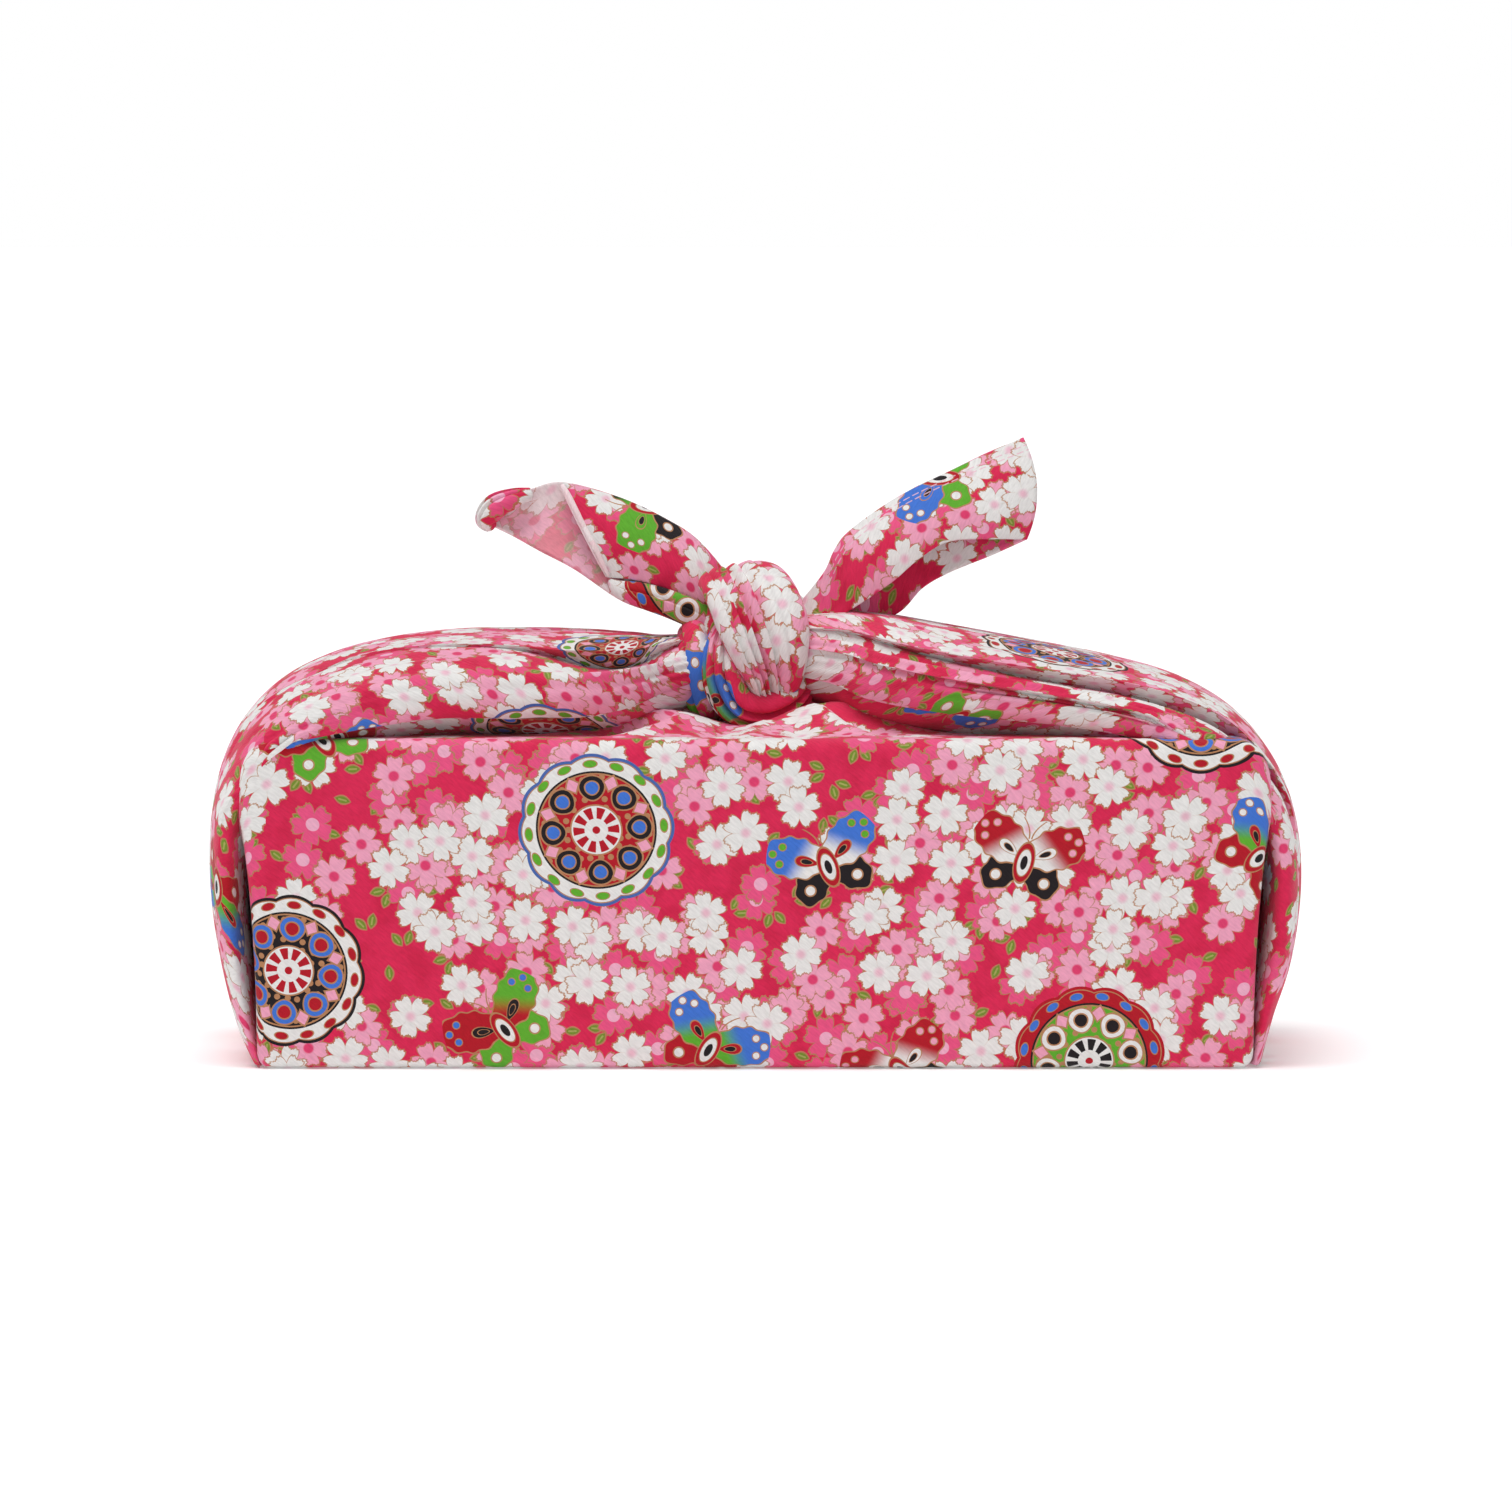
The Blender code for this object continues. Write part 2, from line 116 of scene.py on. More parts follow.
def added(name, data):
    """A new object of the scene, with this data."""
    made = bpy.data.objects.new(name, data)
    bpy.context.scene.collection.objects.link(made)
    return made


def pointed(points):
    """The grid with its first and last rows drawn in to a point each."""
    points[[0, -1]] = points[[0, -1]].mean(1, keepdims=True)
    return points


def cloth_piece(name, points, places, thick=0.0, turned=False):
    """A smooth mesh from rows x columns points in mm, with its places on the print as a UV map in metres.

    Where places has one column more than points, the grid closes to a tube. thick adds the cloth's
    thickness inwards, with the reverse side as the second material. turned swaps right side and reverse.
    """
    rows, columns, _ = points.shape
    closed = places.shape[1] - columns
    row = np.arange(rows - 1)[:, None]
    column = np.arange(columns - 1 + closed)[None, :]
    corners = ((row, column), (row, column + 1), (row + 1, column + 1), (row + 1, column))
    if turned:
        corners = corners[::-1]
    faces = np.stack([r * columns + c % columns for r, c in corners], -1).reshape(-1, 4)
    spots = np.stack([r * (columns + closed) + c for r, c in corners], -1).reshape(-1)
    mesh = bpy.data.meshes.new(name)
    mesh.from_pydata(points.reshape(-1, 3) * MM, [], faces.tolist())
    layer = mesh.uv_layers.new(name=PRINT_MAP)
    layer.data.foreach_set("uv", (places.reshape(-1, 2)[spots] * MM).astype(np.float32).reshape(-1))
    shape = bmesh.new()
    shape.from_mesh(mesh)
    bmesh.ops.remove_doubles(shape, verts=shape.verts, dist=SAME_POINT * MM)
    shape.to_mesh(mesh)
    shape.free()
    mesh.shade_smooth()
    mesh.set_sharp_from_angle(angle=CREASE_ANGLE)
    piece = added(name, mesh)
    if thick:
        solid = piece.modifiers.new("Cloth thickness", "SOLIDIFY")
        solid.thickness = thick * MM
        solid.offset = -1.0
        solid.material_offset = 1
        solid.material_offset_rim = 1
    return piece


def shifted(along, across, start):
    """Places on the print from two distances, moved to where this piece lies on the flat cloth."""
    return np.stack(np.broadcast_arrays(along + start[0], across + start[1]), -1)


# %% [markdown]
# ## The camera
#
# The photo is a catalogue shot: a long lens a little above the table. The camera stands 2.2 m away, so
# that both ends of the parcel are seen almost square on.

# %% Camera
CAMERA_TARGET = Vector((0.0002, -0.0575, 0.0722))
CAMERA_RISE = np.radians(3.4)
CAMERA_AWAY = 2.2
FRAME_WIDTH = 0.3478
SENSOR = 36.0

lens = bpy.data.cameras.new("catalogue_camera")
lens.sensor_width = SENSOR
lens.lens = SENSOR * CAMERA_AWAY / FRAME_WIDTH
lens.clip_start = 0.05
lens.clip_end = 60.0
camera = added("catalogue_camera", lens)
toward_camera = Vector((0.0, -np.cos(CAMERA_RISE), np.sin(CAMERA_RISE)))
camera.location = CAMERA_TARGET + toward_camera * CAMERA_AWAY
camera.rotation_euler = (-toward_camera).to_track_quat("-Z", "Y").to_euler()
bpy.context.scene.camera = camera
print("lens in mm:", round(lens.lens, 1))

# %% [markdown]
# ## The cloth round the box
#
# Front, top, back and underside are one stretch of cloth pulled round a box. It could be a bevelled
# cube, but a rounded profile carried along the length lets the cloth bulge, dip and rise to the knot.
# The ends turn in behind the end panels, as the cloth does where it is tucked.

# %% Profile round the box
BOX_LENGTH, BOX_DEPTH, BOX_HEIGHT = 230.0, 115.0, 76.0
CORNER = 3.2
CORNER_STEPS = 7
END_CORNER = 3.0
END_TURN_IN = 16.0
TOP_END_DROP = 9.0
FLARE, FLARE_TOP = 4.0, 0.85
BELLY = 1.4
GRID_STEP = 1.9
TURN_STEPS, TUCK_STEPS = 5, 8
CLOTH_THICK = 0.9


def straight_run(start, end):
    """Points about GRID_STEP apart on the way from one point to another, without the last."""
    steps = max(2, round(float(np.linalg.norm(end - start)) / GRID_STEP))
    return start + (end - start) * (np.arange(steps) / steps)[:, None]


def profile(depth, height, corner):
    """A rounded rectangle from the middle of the underside, up the front and over: points and normals."""
    half_depth = depth / 2
    centres = ((-half_depth + corner, corner), (-half_depth + corner, height - corner),
               (half_depth - corner, height - corner), (half_depth - corner, corner))
    starts = (270.0, 180.0, 90.0, 0.0)
    points, normals = [], []
    last = np.array((0.0, 0.0))
    for (y, z), start in zip(centres, starts):
        angle = np.radians(np.linspace(start, start - 90.0, CORNER_STEPS))
        normal = np.stack((np.cos(angle), np.sin(angle)), -1)
        arc = np.array((y, z)) + corner * normal
        flat = straight_run(last, arc[0])
        points += [flat, arc[:-1]]
        normals += [np.repeat(normal[:1], len(flat), 0), normal[:-1]]
        last = arc[-1]
    flat = straight_run(last, np.array((0.0, 0.0)))
    return np.vstack(points + [flat]), np.vstack(normals + [np.repeat(normal[-1:], len(flat), 0)])


ring, ring_normal = profile(BOX_DEPTH, BOX_HEIGHT, CORNER)
print("profile points:", len(ring))

# %% [markdown]
# The knot draws the top up into soft peaks, with small wrinkles running down from them to the front
# edge. Each wrinkle is a line on the top with a width and a height, and a row in a short table.

# %% Peaks and wrinkles of the top
# Columns: x, y, height above the box, spread along x, spread along y
PEAKS = (
    (15, -19, 6.2, 12, 12),
    (-20, -18, 4.6, 12, 12),
    (15, 17, 6.5, 13, 11),
    (-20, 15, 5, 12, 11),
)
# Columns: x and y at the knot, x and y at the far end, width, height (below 0 it is a trough)
TOP_WRINKLES = (
    (17, -17, 46, -34, 2.6, 2),
    (15, -19, 38, -44, 2.2, -1.3),
    (13, -21, 30, -50, 2.4, 1.7),
    (9, -22, 12, -54, 2.6, -1.4),
    (2, -22, -2, -52, 2.8, 1.5),
    (-6, -22, -14, -50, 2.4, -1.3),
    (-14, -22, -34, -50, 2.6, 1.8),
    (-17, -21, -42, -46, 2.2, -1.1),
    (-20, -20, -52, -42, 2.6, 1.5),
    (16, 18, 40, 44, 3.2, 1.2),
    (6, 20, 6, 50, 3, -0.9),
    (-18, 18, -40, 46, 3.2, 1.2),
)


# Shares of a ridge's way over which it rises, and over which it fades
TAPER_IN, TAPER_OUT = (-0.12, 0.2), (0.45, 1.05)


def line_ridges(u, v, table):
    """Ridges along straight lines: height x exp(-(distance / width)^2), tapering to both ends."""
    total = 0.0 * (u + v)
    for u0, v0, u1, v1, width, height in table:
        du, dv = u1 - u0, v1 - v0
        share = ((u - u0) * du + (v - v0) * dv) / (du * du + dv * dv)
        near = np.clip(share, 0, 1)
        apart = np.hypot(u - u0 - near * du, v - v0 - near * dv)
        total += height * hump(apart, width) * eased(share, *TAPER_IN) * (1 - eased(share, *TAPER_OUT))
    return total


def top_rise(x, y):
    """How far the top stands above the box: soft peaks beside the knot, and their wrinkles."""
    peaks = sum(high * hump(x - px, wide) * hump(y - py, deep) for px, py, high, wide, deep in PEAKS)
    return peaks + line_ridges(x, y, TOP_WRINKLES)


print("highest peak in mm:", round(float(top_rise(np.array(15.0), np.array(-19.0))), 1))

# %% [markdown]
# The front is pulled flat, but it isn't a board: the cloth is drawn up to the corners in long shallow
# folds, and it eases a little over the bottom edge.

# %% Shallow folds of the front and back
# Columns: x and z at the start, x and z at the end, width, height
FACE_FOLDS = (
    (-112, 74, -60, 52, 7, 0.45),
    (-100, 76, -30, 66, 5, -0.4),
    (108, 75, 62, 50, 7, 0.45),
    (112, 60, 84, 22, 6, -0.35),
    (-113, 52, -92, 14, 6, -0.35),
    (-20, 75, -40, 40, 8, 0.3),
    (24, 75, 38, 44, 8, 0.3),
    (-70, 4, 10, 9, 6, 0.3),
    (40, 6, 100, 3, 5, -0.25),
)


def box_cover():
    """The profile carried along the length, turned in at both ends, with belly, flare, peaks and folds."""
    core = BOX_LENGTH / 2 - END_CORNER
    arc = END_CORNER * np.pi / 2
    reach = core + arc + END_TURN_IN
    inner = np.linspace(-core, core, round(2 * core / GRID_STEP) + 1)
    turning = core + arc * np.linspace(0, 1, TURN_STEPS + 1)[1:]
    outer = np.concatenate((turning, np.linspace(core + arc, reach, TUCK_STEPS + 1)[1:]))
    station = np.concatenate((-outer[::-1], inner, outer))[:, None]
    turn = np.clip((np.abs(station) - core) / END_CORNER, 0, np.pi / 2)
    inset = END_CORNER * (1 - np.cos(turn)) + np.maximum(np.abs(station) - core - arc, 0)
    side = np.sign(station)

    y, z = ring[:, 0], ring[:, 1]
    up = z / BOX_HEIGHT
    ny, nz = ring_normal[:, 0], ring_normal[:, 1]
    flare = FLARE * np.minimum(up / FLARE_TOP, 1.0) ** 2
    x = np.clip(station, -core, core) * (core + flare) / core + side * END_CORNER * np.sin(turn)
    share = 2 * x / BOX_LENGTH
    belly = BELLY * (1 - (2 * up - 1) ** 2) * np.maximum(1 - share**2, 0) * np.abs(ny)
    folds = line_ridges(x, z, FACE_FOLDS) * np.abs(ny) * eased(up, 0.0, 0.12)
    out = belly + folds
    past = np.clip(np.abs(x) - (BOX_LENGTH / 2 + FLARE - TOP_END_DROP), 0, TOP_END_DROP)
    drop = TOP_END_DROP - np.sqrt(TOP_END_DROP**2 - past**2)
    rise = top_rise(x, y + 0 * x) * (nz > 0.5) * eased(BOX_DEPTH / 2 - np.abs(y), 0.0, 9.0)
    new_y = (y + ny * out) * (1 - inset / (BOX_DEPTH / 2))
    middle = BOX_HEIGHT / 2
    new_z = middle + (z - middle) * (1 - inset / middle) - drop * np.maximum(up, 0) ** 3 + rise
    points = np.stack(np.broadcast_arrays(x, new_y, np.maximum(new_z, 0.0)), -1)
    girth = walked(np.vstack((ring, ring[:1])), 0)
    bottom_edge = BOX_DEPTH / 2 - CORNER + CORNER * np.pi / 4
    places = shifted(station, girth - bottom_edge, (0.0, 0.0))
    return cloth_piece("cloth_round_box", points, places, CLOTH_THICK, True)


cover = box_cover()
print("cloth round the box, faces:", len(cover.data.polygons))

# %% [markdown]
# ## End panels and arms
#
# Each end corner of the cloth rises up the end, turns over the top corner and gathers on its way to the
# knot. It is a tube whose section changes: wide and flat on the end, rounded on the corner, narrow and
# pleated at the knot. The sections are close to those of the solid, with finer folds pressed in.

# %% Sections of the two arms
# Columns: distance from the middle, height, half thickness, half depth to the front,
# half depth to the back, then the angle of each fold round the section, 0 at the front edge
# and 90 at the outer ridge, and how far each fold sinks
LEFT_ARM = (
    (110, 0.8, 6.5, 54.5, 54.5, 20, 60, 0, 0),
    (114, 14, 8.6, 54.5, 54.5, 18, 60, 0, 0),
    (117.4, 36, 9.8, 54.5, 54.5, 16, 60, 0, 0),
    (117.2, 55, 10.2, 55, 55, 14, 60, 0.2, 0.2),
    (113.6, 68, 10.9, 57.4, 57.2, 6, 60, 0.8, 0.4),
    (106.4, 76.4, 11.7, 58.8, 58.6, -6, 60, 1.6, 0.6),
    (96.4, 81.4, 12.2, 57.2, 54.5, -16, 60, 2.4, 0.8),
    (84, 84.4, 12.5, 54, 50, -21, 57, 2, 0.6),
    (70, 86, 12.6, 51, 45, -24, 54, 0.8, 0.8),
    (54, 86, 13, 48.5, 39, -26, 50, 0.4, 1.6),
    (38, 86.2, 12.5, 44, 32, -26, 48, 0.4, 6),
    (28, 87.2, 11, 33, 23, -24, 50, 0.4, 6),
    (20, 88.4, 9.2, 19, 15, -20, 56, 0.3, 2.6),
    (8, 91, 7.5, 12, 12, -20, 64, 0, 0),
)
RIGHT_ARM = (
    (111, 0.8, 6.8, 54.5, 54.5, 20, -14, 0, 0),
    (113.2, 13, 8.4, 54.5, 54.5, 24, -14, 0, 0),
    (116, 25, 9.8, 54.5, 54.5, 30, -14, 0, 0),
    (117.6, 40, 10.2, 54.5, 54.5, 38, -14, 0.2, 0),
    (116.6, 53, 10.4, 55, 55, 46, -12, 0.8, 0),
    (112.8, 64, 10.4, 57.4, 57.4, 50, -8, 3, 0),
    (105.8, 72.4, 10.4, 58.2, 58.6, 50, 2, 5.4, 0.8),
    (96, 78, 10.4, 56.4, 54, 46, 12, 5.6, 2.2),
    (82.6, 81.6, 10.8, 52.6, 49.5, 44, 16, 5.2, 3.2),
    (66, 84.2, 11.7, 49.6, 44, 41, 17, 4.6, 3.4),
    (46, 86.7, 12.9, 45.6, 36, 41, 17, 4.2, 3),
    (29, 89.2, 13.4, 32, 25, 42, 16, 3.2, 2.4),
    (20, 91.6, 11.9, 21, 17, 42, 15, 2, 1.6),
    (8, 93, 9, 12, 12, 42, 14, 0, 0),
)
# Folds that keep their place round the section. Columns: angle, depth, and 1 where the cloth past
# the angle laps over, or -1 where the cloth before it does
LEFT_STEADY_FOLDS = ((125.0, 1.8, -1), (152.0, 1.8, -1))
RIGHT_STEADY_FOLDS = ((-24.0, 2.4, 1), (125.0, 1.8, -1), (152.0, 1.8, -1))
FIRST_ANGLE, LAST_ANGLE = -90.0, 270.0
ARM_ROUNDNESS = 2.5
ARM_STEPS = 10
ARM_FOOT = 0.6
FOLD_RUN = 7.0
FOLD_LIP = 3.0
FOLD_VALLEY = 1.0
CREASE_TAPER = 0.7
ANGLE_STEP = 2.2
UNDER_FROM, UNDER_TO = -0.9, -0.5
LAP_OVER, LAP_UNDER, LAP_FULL, LAP_RUN = 3.0, 2.5, 3.5, 4.0
MOST_LAP = 6.0
LEAST_REACH = 0.12
PANEL_NOSE = 4.6
NOSE_FADE = (57.0, 68.0)

# %% [markdown]
# Between the main folds lie small creases: each is a line through the tube, given by
# the table row where it starts and ends and its angle round the section there. A depth below 0 is a
# ridge. Near the knot the cloth is gathered into narrow pleats all round.

# %% Small creases of the arms
# Columns: row at the start, middle and end, angle at the start, middle and end, width in degrees, depth
LEFT_CREASES = (
    (3.6, 5.4, 8.6, 34, 26, 30, 3.4, 0.9),
    (3.4, 5.6, 9.4, 46, 40, 44, 3.6, 0.8),
    (3.8, 5.2, 7.6, 22, 12, 10, 2.8, 0.8),
    (4, 5.4, 7.2, 12, 2, -4, 2.6, 0.7),
    (3, 4.6, 6.4, 62, 56, 60, 4, 0.7),
    (7, 9, 11.5, 10, 6, 14, 5, 0.5),
    (8.6, 10.4, 12.4, 30, 28, 38, 4, 0.8),
    (9.6, 11.2, 12.8, 2, 4, 12, 4, 0.8),
    (0.4, 2, 4.4, 40, 52, 50, 5, 0.6),
    (0.2, 1.8, 4, 100, 92, 84, 6, 0.6),
    (3, 5, 8, 100, 104, 108, 4, 0.8),
    (5, 8, 12, 80, 84, 90, 4, 0.8),
    (9, 10.6, 12.6, 34, 35, 40, 9, 2),
    (9.4, 10.8, 12.4, 20, 22, 24, 4, -0.9),
    (3.2, 4.8, 6.4, 30, 19, 15, 2.4, 1.2),
    (3.2, 4.6, 6.4, 8, -4, -9, 2.4, 1.1),
    (3.6, 5, 6.8, 52, 48, 50, 3, 1.1),
    (3.4, 4.8, 6.6, 18, 8, 4, 2.2, 1.1),
    (3.8, 5.2, 7, 40, 33, 33, 2.6, 1.2),
    (4.2, 5.6, 7.4, 68, 62, 66, 3.4, 1),
)
RIGHT_CREASES = (
    (4, 6, 9, 60, 58, 62, 4, 0.8),
    (6.2, 8.2, 10.6, 30, 30, 31, 1.9, 1.7),
    (6, 8.2, 11.6, 20, 24, 25, 2.4, -0.7),
    (5.8, 7.4, 9.6, 36, 36, 36, 1.7, 1.5),
    (5.6, 7.4, 10.4, -4, 4, 6, 2, 1.8),
    (5.4, 6.8, 8.8, 14, 22, 24, 1.8, 1.5),
    (5.4, 7, 8.6, -8, -3, -4, 1.8, 1.4),
    (4, 5.9, 7.4, 12, 10, 4, 20, 3.4),
    (7.2, 9.4, 12.2, 52, 56, 62, 3.6, 0.7),
    (7, 9, 11.8, -14, -12, -10, 3.2, 0.8),
    (4.6, 6.2, 8.2, 84, 80, 78, 4.4, 0.8),
    (0.4, 2.2, 4.6, 44, 50, 40, 5, 0.6),
    (0.2, 2, 4.2, 96, 90, 92, 6, 0.6),
    (9, 10.8, 12.8, 30, 31, 34, 2.6, 0.9),
    (5, 8, 12, 100, 104, 108, 4, 0.8),
)
# How many gathers go round, the rows where they set in, how deep they are, and where their cloth hides
GATHERS = 26
GATHER_ROWS = (9.4, 12.6)
GATHER_DEPTH = 0.45
GATHER_FOLD = (0.42, 0.58)
# The print starts at this angle and row, and past this angle the gathers hide some of its cloth
PRINT_ANGLE, PRINT_ROW = 32.0, 5
GATHERED_ANGLE = 60.0
# Cloth hidden in a fold in mm, a steady fold's share of that, and the rows over which it grows
HIDDEN_CLOTH, STEADY_SHARE = 5.0, 0.5
HIDDEN_ROWS = (3.0, 9.0)


def arm_angles(folds):
    """Angles round each section, in degrees from the front edge, closer together beside each fold.

    folds is sections x folds, in rising order. Every section gets as many angles in each stretch.
    """
    count = len(folds)
    marks = np.stack((folds - FOLD_VALLEY, folds + FOLD_LIP), -1).reshape(count, -1)
    marks = np.hstack((np.full((count, 1), FIRST_ANGLE), marks, np.full((count, 1), LAST_ANGLE)))
    stretches = []
    for start, end in zip(marks.T, marks.T[1:]):
        steps = max(3, round(float(np.mean(end - start)) / ANGLE_STEP))
        stretches.append(start[:, None] + (end - start)[:, None] * np.arange(steps) / steps)
    return np.hstack(stretches)


def fold_shape(angle, fold, depth, lip, reach):
    """A lip over a valley that runs in under it. Returns how far the cloth sinks, in mm, and how far it
    slides over or under, in degrees. Both are most at the fold, and ease off as exp(-distance / run).

    reach is how many mm a degree is. lip is 1 where the cloth past the fold laps over, and -1 where
    the cloth before it does.
    """
    away = lip * (fold - angle) * reach
    sink = depth * np.exp(-np.maximum(away, 0) / FOLD_RUN) * (away > 0)
    most = np.minimum(depth / LAP_FULL, 1)
    over = np.minimum(LAP_OVER / reach, MOST_LAP) * np.exp(-np.maximum(-away, 0) / LAP_RUN) * (away <= 0)
    under = np.minimum(LAP_UNDER / reach, MOST_LAP) * np.exp(-np.maximum(away, 0) / LAP_RUN) * (away > 0)
    return sink, lip * most * (over - under)


def pleats(angle):
    """How many gathers lie between the front edge and an angle, and the depth of the gather there, 0 to 1."""
    count = angle * GATHERS / 360
    whole = np.floor(count)
    return whole + eased(count - whole, *GATHER_FOLD), 1 - np.abs(np.cos(np.pi * count))


def creases(row, angle, table):
    """Soft troughs along listed lines: depth x exp(-(angle from the line / width)^2), tapered."""
    total = 0 * angle
    for r0, r1, r2, a0, a1, a2, width, depth in table:
        line = np.interp(row, (r0, r1, r2), (a0, a1, a2))
        taper = np.sin(np.pi * np.clip((row - r0) / (r2 - r0), 0, 1)) ** CREASE_TAPER
        total += depth * taper * hump(angle - line, width)
    return total


def arm(name, side, rows, lips, steady_folds, crease_table, start):
    """End panel and arm: superelliptic sections along the way from the floor to the knot.

    At angle a the section is -wide cos(a) across and thick sin(a) outwards, each times a factor that
    squares it off. On the end panel the section is thinner and stands further out, which leaves a dark
    crack beside the front. Folds and creases sink the cloth along its own normal. Its place on the
    print is the distance along the arm from the top corner, and the distance round it from the middle
    of the front, plus the cloth that each fold and each gather hides.
    """
    table = through(rows, ARM_STEPS)
    row = np.linspace(0, len(rows) - 1, len(table))[:, None]
    away, height, thick, front, back, fold_a, fold_b, deep_a, deep_b = table.T[..., None]
    strength = np.minimum(1.0, np.maximum(deep_a + deep_b, 0.0))
    folds = [(fold_a, deep_a, lips[0]), (fold_b, deep_b, lips[1])]
    folds += [(angle + 0 * away, depth * strength, lip) for angle, depth, lip in steady_folds]
    angle = arm_angles(np.sort(np.hstack([fold for fold, _, _ in folds]), axis=1))
    nose = PANEL_NOSE * (1 - eased(height, *NOSE_FADE))
    thick = thick - nose
    sunk, slid = 0.0, 0.0
    for fold, depth, lip in folds:
        reach = np.hypot(front * np.sin(np.radians(fold)), thick * np.cos(np.radians(fold))) * np.pi / 180
        sink, slide = fold_shape(angle, fold, depth, lip, np.maximum(reach, LEAST_REACH))
        sunk, slid = sunk + sink, slid + slide
    seen = angle - slid
    cosine, sine = np.cos(np.radians(seen)), np.sin(np.radians(seen))
    round_off = (np.abs(cosine) ** ARM_ROUNDNESS + np.abs(sine) ** ARM_ROUNDNESS) ** (-1 / ARM_ROUNDNESS)
    wide = np.where(cosine > 0, front, back)
    shown = np.clip((sine - UNDER_FROM) / (UNDER_TO - UNDER_FROM), 0, 1)
    gather = GATHER_DEPTH * eased(row, *GATHER_ROWS) * pleats(angle)[1]
    sink = shown * (sunk + creases(row, angle, crease_table) + gather)
    slope_y, slope_out = cosine / wide, sine / thick
    slope = np.hypot(slope_y, slope_out)
    y = -wide * cosine * round_off + sink * slope_y / slope
    out = nose + thick * sine * round_off - sink * slope_out / slope
    run, rise = np.gradient(away, axis=0), np.gradient(height, axis=0)
    pace = np.hypot(run, rise)
    x = side * (away + out * rise / pace)
    z = np.maximum(height - out * run / pace, ARM_FOOT)
    points = np.stack((x, y, z), -1)
    joined = np.concatenate((points, points[:, :1]), 1)
    last_angle = np.hstack((angle, angle[:, :1] + 360))
    shares = (1.0, 1.0) + (STEADY_SHARE,) * len(steady_folds)
    past = sum(share * eased(last_angle, fold - FOLD_VALLEY, fold + FOLD_VALLEY)
               for share, (fold, _, _) in zip(shares, folds))
    hidden = HIDDEN_CLOTH * eased(row, *HIDDEN_ROWS) * past
    round_it = walked(joined, 1)
    girth = round_it[:, -1:]
    wide_girth = girth[round(GATHER_ROWS[0] * ARM_STEPS)]
    count = pleats(np.maximum(last_angle - GATHERED_ANGLE, 0))[0]
    most = GATHERS * (LAST_ANGLE - GATHERED_ANGLE) / 360
    gathered = np.maximum(wide_girth - girth, 0) * (count / most) * (row > GATHER_ROWS[0])
    round_it = round_it + hidden + gathered
    starts = [np.interp(PRINT_ANGLE, angles, places) for angles, places in zip(last_angle, round_it)]
    round_it = round_it - np.array(starts)[:, None]
    along = walked(joined, 0)
    along = along - along[ARM_STEPS * PRINT_ROW]
    return cloth_piece(name, points, shifted(along, round_it, start), CLOTH_THICK, side < 0)


LEFT_ARM_PLACE, RIGHT_ARM_PLACE = (500.0, 0.0), (900.0, 0.0)
left_arm = arm("left_arm", -1, LEFT_ARM, (1, 1), LEFT_STEADY_FOLDS, LEFT_CREASES, LEFT_ARM_PLACE)
right_arm = arm("right_arm", 1, RIGHT_ARM, (1, 1), RIGHT_STEADY_FOLDS, RIGHT_CREASES, RIGHT_ARM_PLACE)
print("arms, faces:", len(left_arm.data.polygons), len(right_arm.data.polygons))

# %% [markdown]
# ## The knot
#
# A square knot shows as a few broad bands that cross: one comes over the front, one passes under it,
# one closes it on the left as a collar, and one runs down the back. Each band is gathered cloth, so it
# is a flattened tube with lengthwise pleats whose lips lap over each other.

# %% Bands of the knot
KNOT_HEART = (-2.0, 0.0, 94.5)
KNOT_HEART_SIZE = (12.5, 14.0, 16.5)
# Columns: x, y, z along the band's middle, half width, half thickness
FRONT_BAND = (
    (-6, 14, 99, 9, 4),
    (-5.4, 8, 107.5, 9.5, 5),
    (-3.4, -2, 110.4, 10.4, 5),
    (-0.6, -11, 106.6, 11, 5.4),
    (2.4, -15.8, 98.8, 10.8, 5.6),
    (4.2, -16.4, 91.4, 8.6, 5.4),
    (4.8, -14, 85.2, 5.8, 4.8),
    (5, -7, 82, 4.4, 4),
)
UNDER_BAND = (
    (-5, -8, 100.5, 4, 3.5),
    (-7.6, -13.4, 94.6, 4.6, 4.6),
    (-7.6, -16.2, 87.4, 5, 4.8),
    (-4.2, -17.2, 81.4, 4.8, 4.8),
    (2, -16.4, 79.9, 4.4, 4.6),
    (8.4, -12.4, 83, 4.2, 4.4),
    (11, -5, 89, 4, 3.8),
)
COLLAR_BAND = (
    (-14.6, 9, 90, 4.6, 3.2),
    (-14.8, 5.5, 96.4, 4.6, 3.4),
    (-14.8, -2, 97.8, 4.8, 3.6),
    (-14.6, -9, 94, 5, 3.8),
    (-14.4, -11.4, 87.6, 5, 3.8),
    (-12.6, -9, 81.8, 4.6, 3.6),
    (-9, -2, 80, 4.2, 3.2),
)
BACK_BAND = (
    (6, 2, 106, 9, 4),
    (4, 11, 104, 10, 5),
    (2, 15.6, 96, 10.5, 5.2),
    (-1, 14.4, 87, 9.5, 5),
    (-3, 7, 80.5, 8, 4),
)
BAND_STEPS = 10
BAND_AROUND = 84
CORE_RINGS, CORE_AROUND = 40, 64
CORE_PRINT = 14.0
PLEAT_RUN = 0.2
PLEAT_EDGES = 4.0
PLEAT_START, PLEAT_END = 0.15, 1.9
# Pleats across a band, from -1 at one edge to 1 at the other. Columns: place, depth, and the side
# that laps over
FRONT_PLEATS = ((-0.3, 0.2, 1), (0.05, 0.55, 1), (0.32, 0.7, 1), (0.56, 0.7, 1), (0.78, 0.55, 1))
UNDER_PLEATS = ((-0.35, 0.8, 1), (0.1, 0.6, 1), (0.4, 0.7, -1), (0.7, 0.5, -1))
COLLAR_PLEATS = ((-0.4, 0.7, -1), (0.2, 0.75, -1))
BACK_PLEATS = ((-0.6, 0.3, 1), (-0.2, 0.4, 1), (0.3, 0.4, -1), (0.65, 0.3, -1))


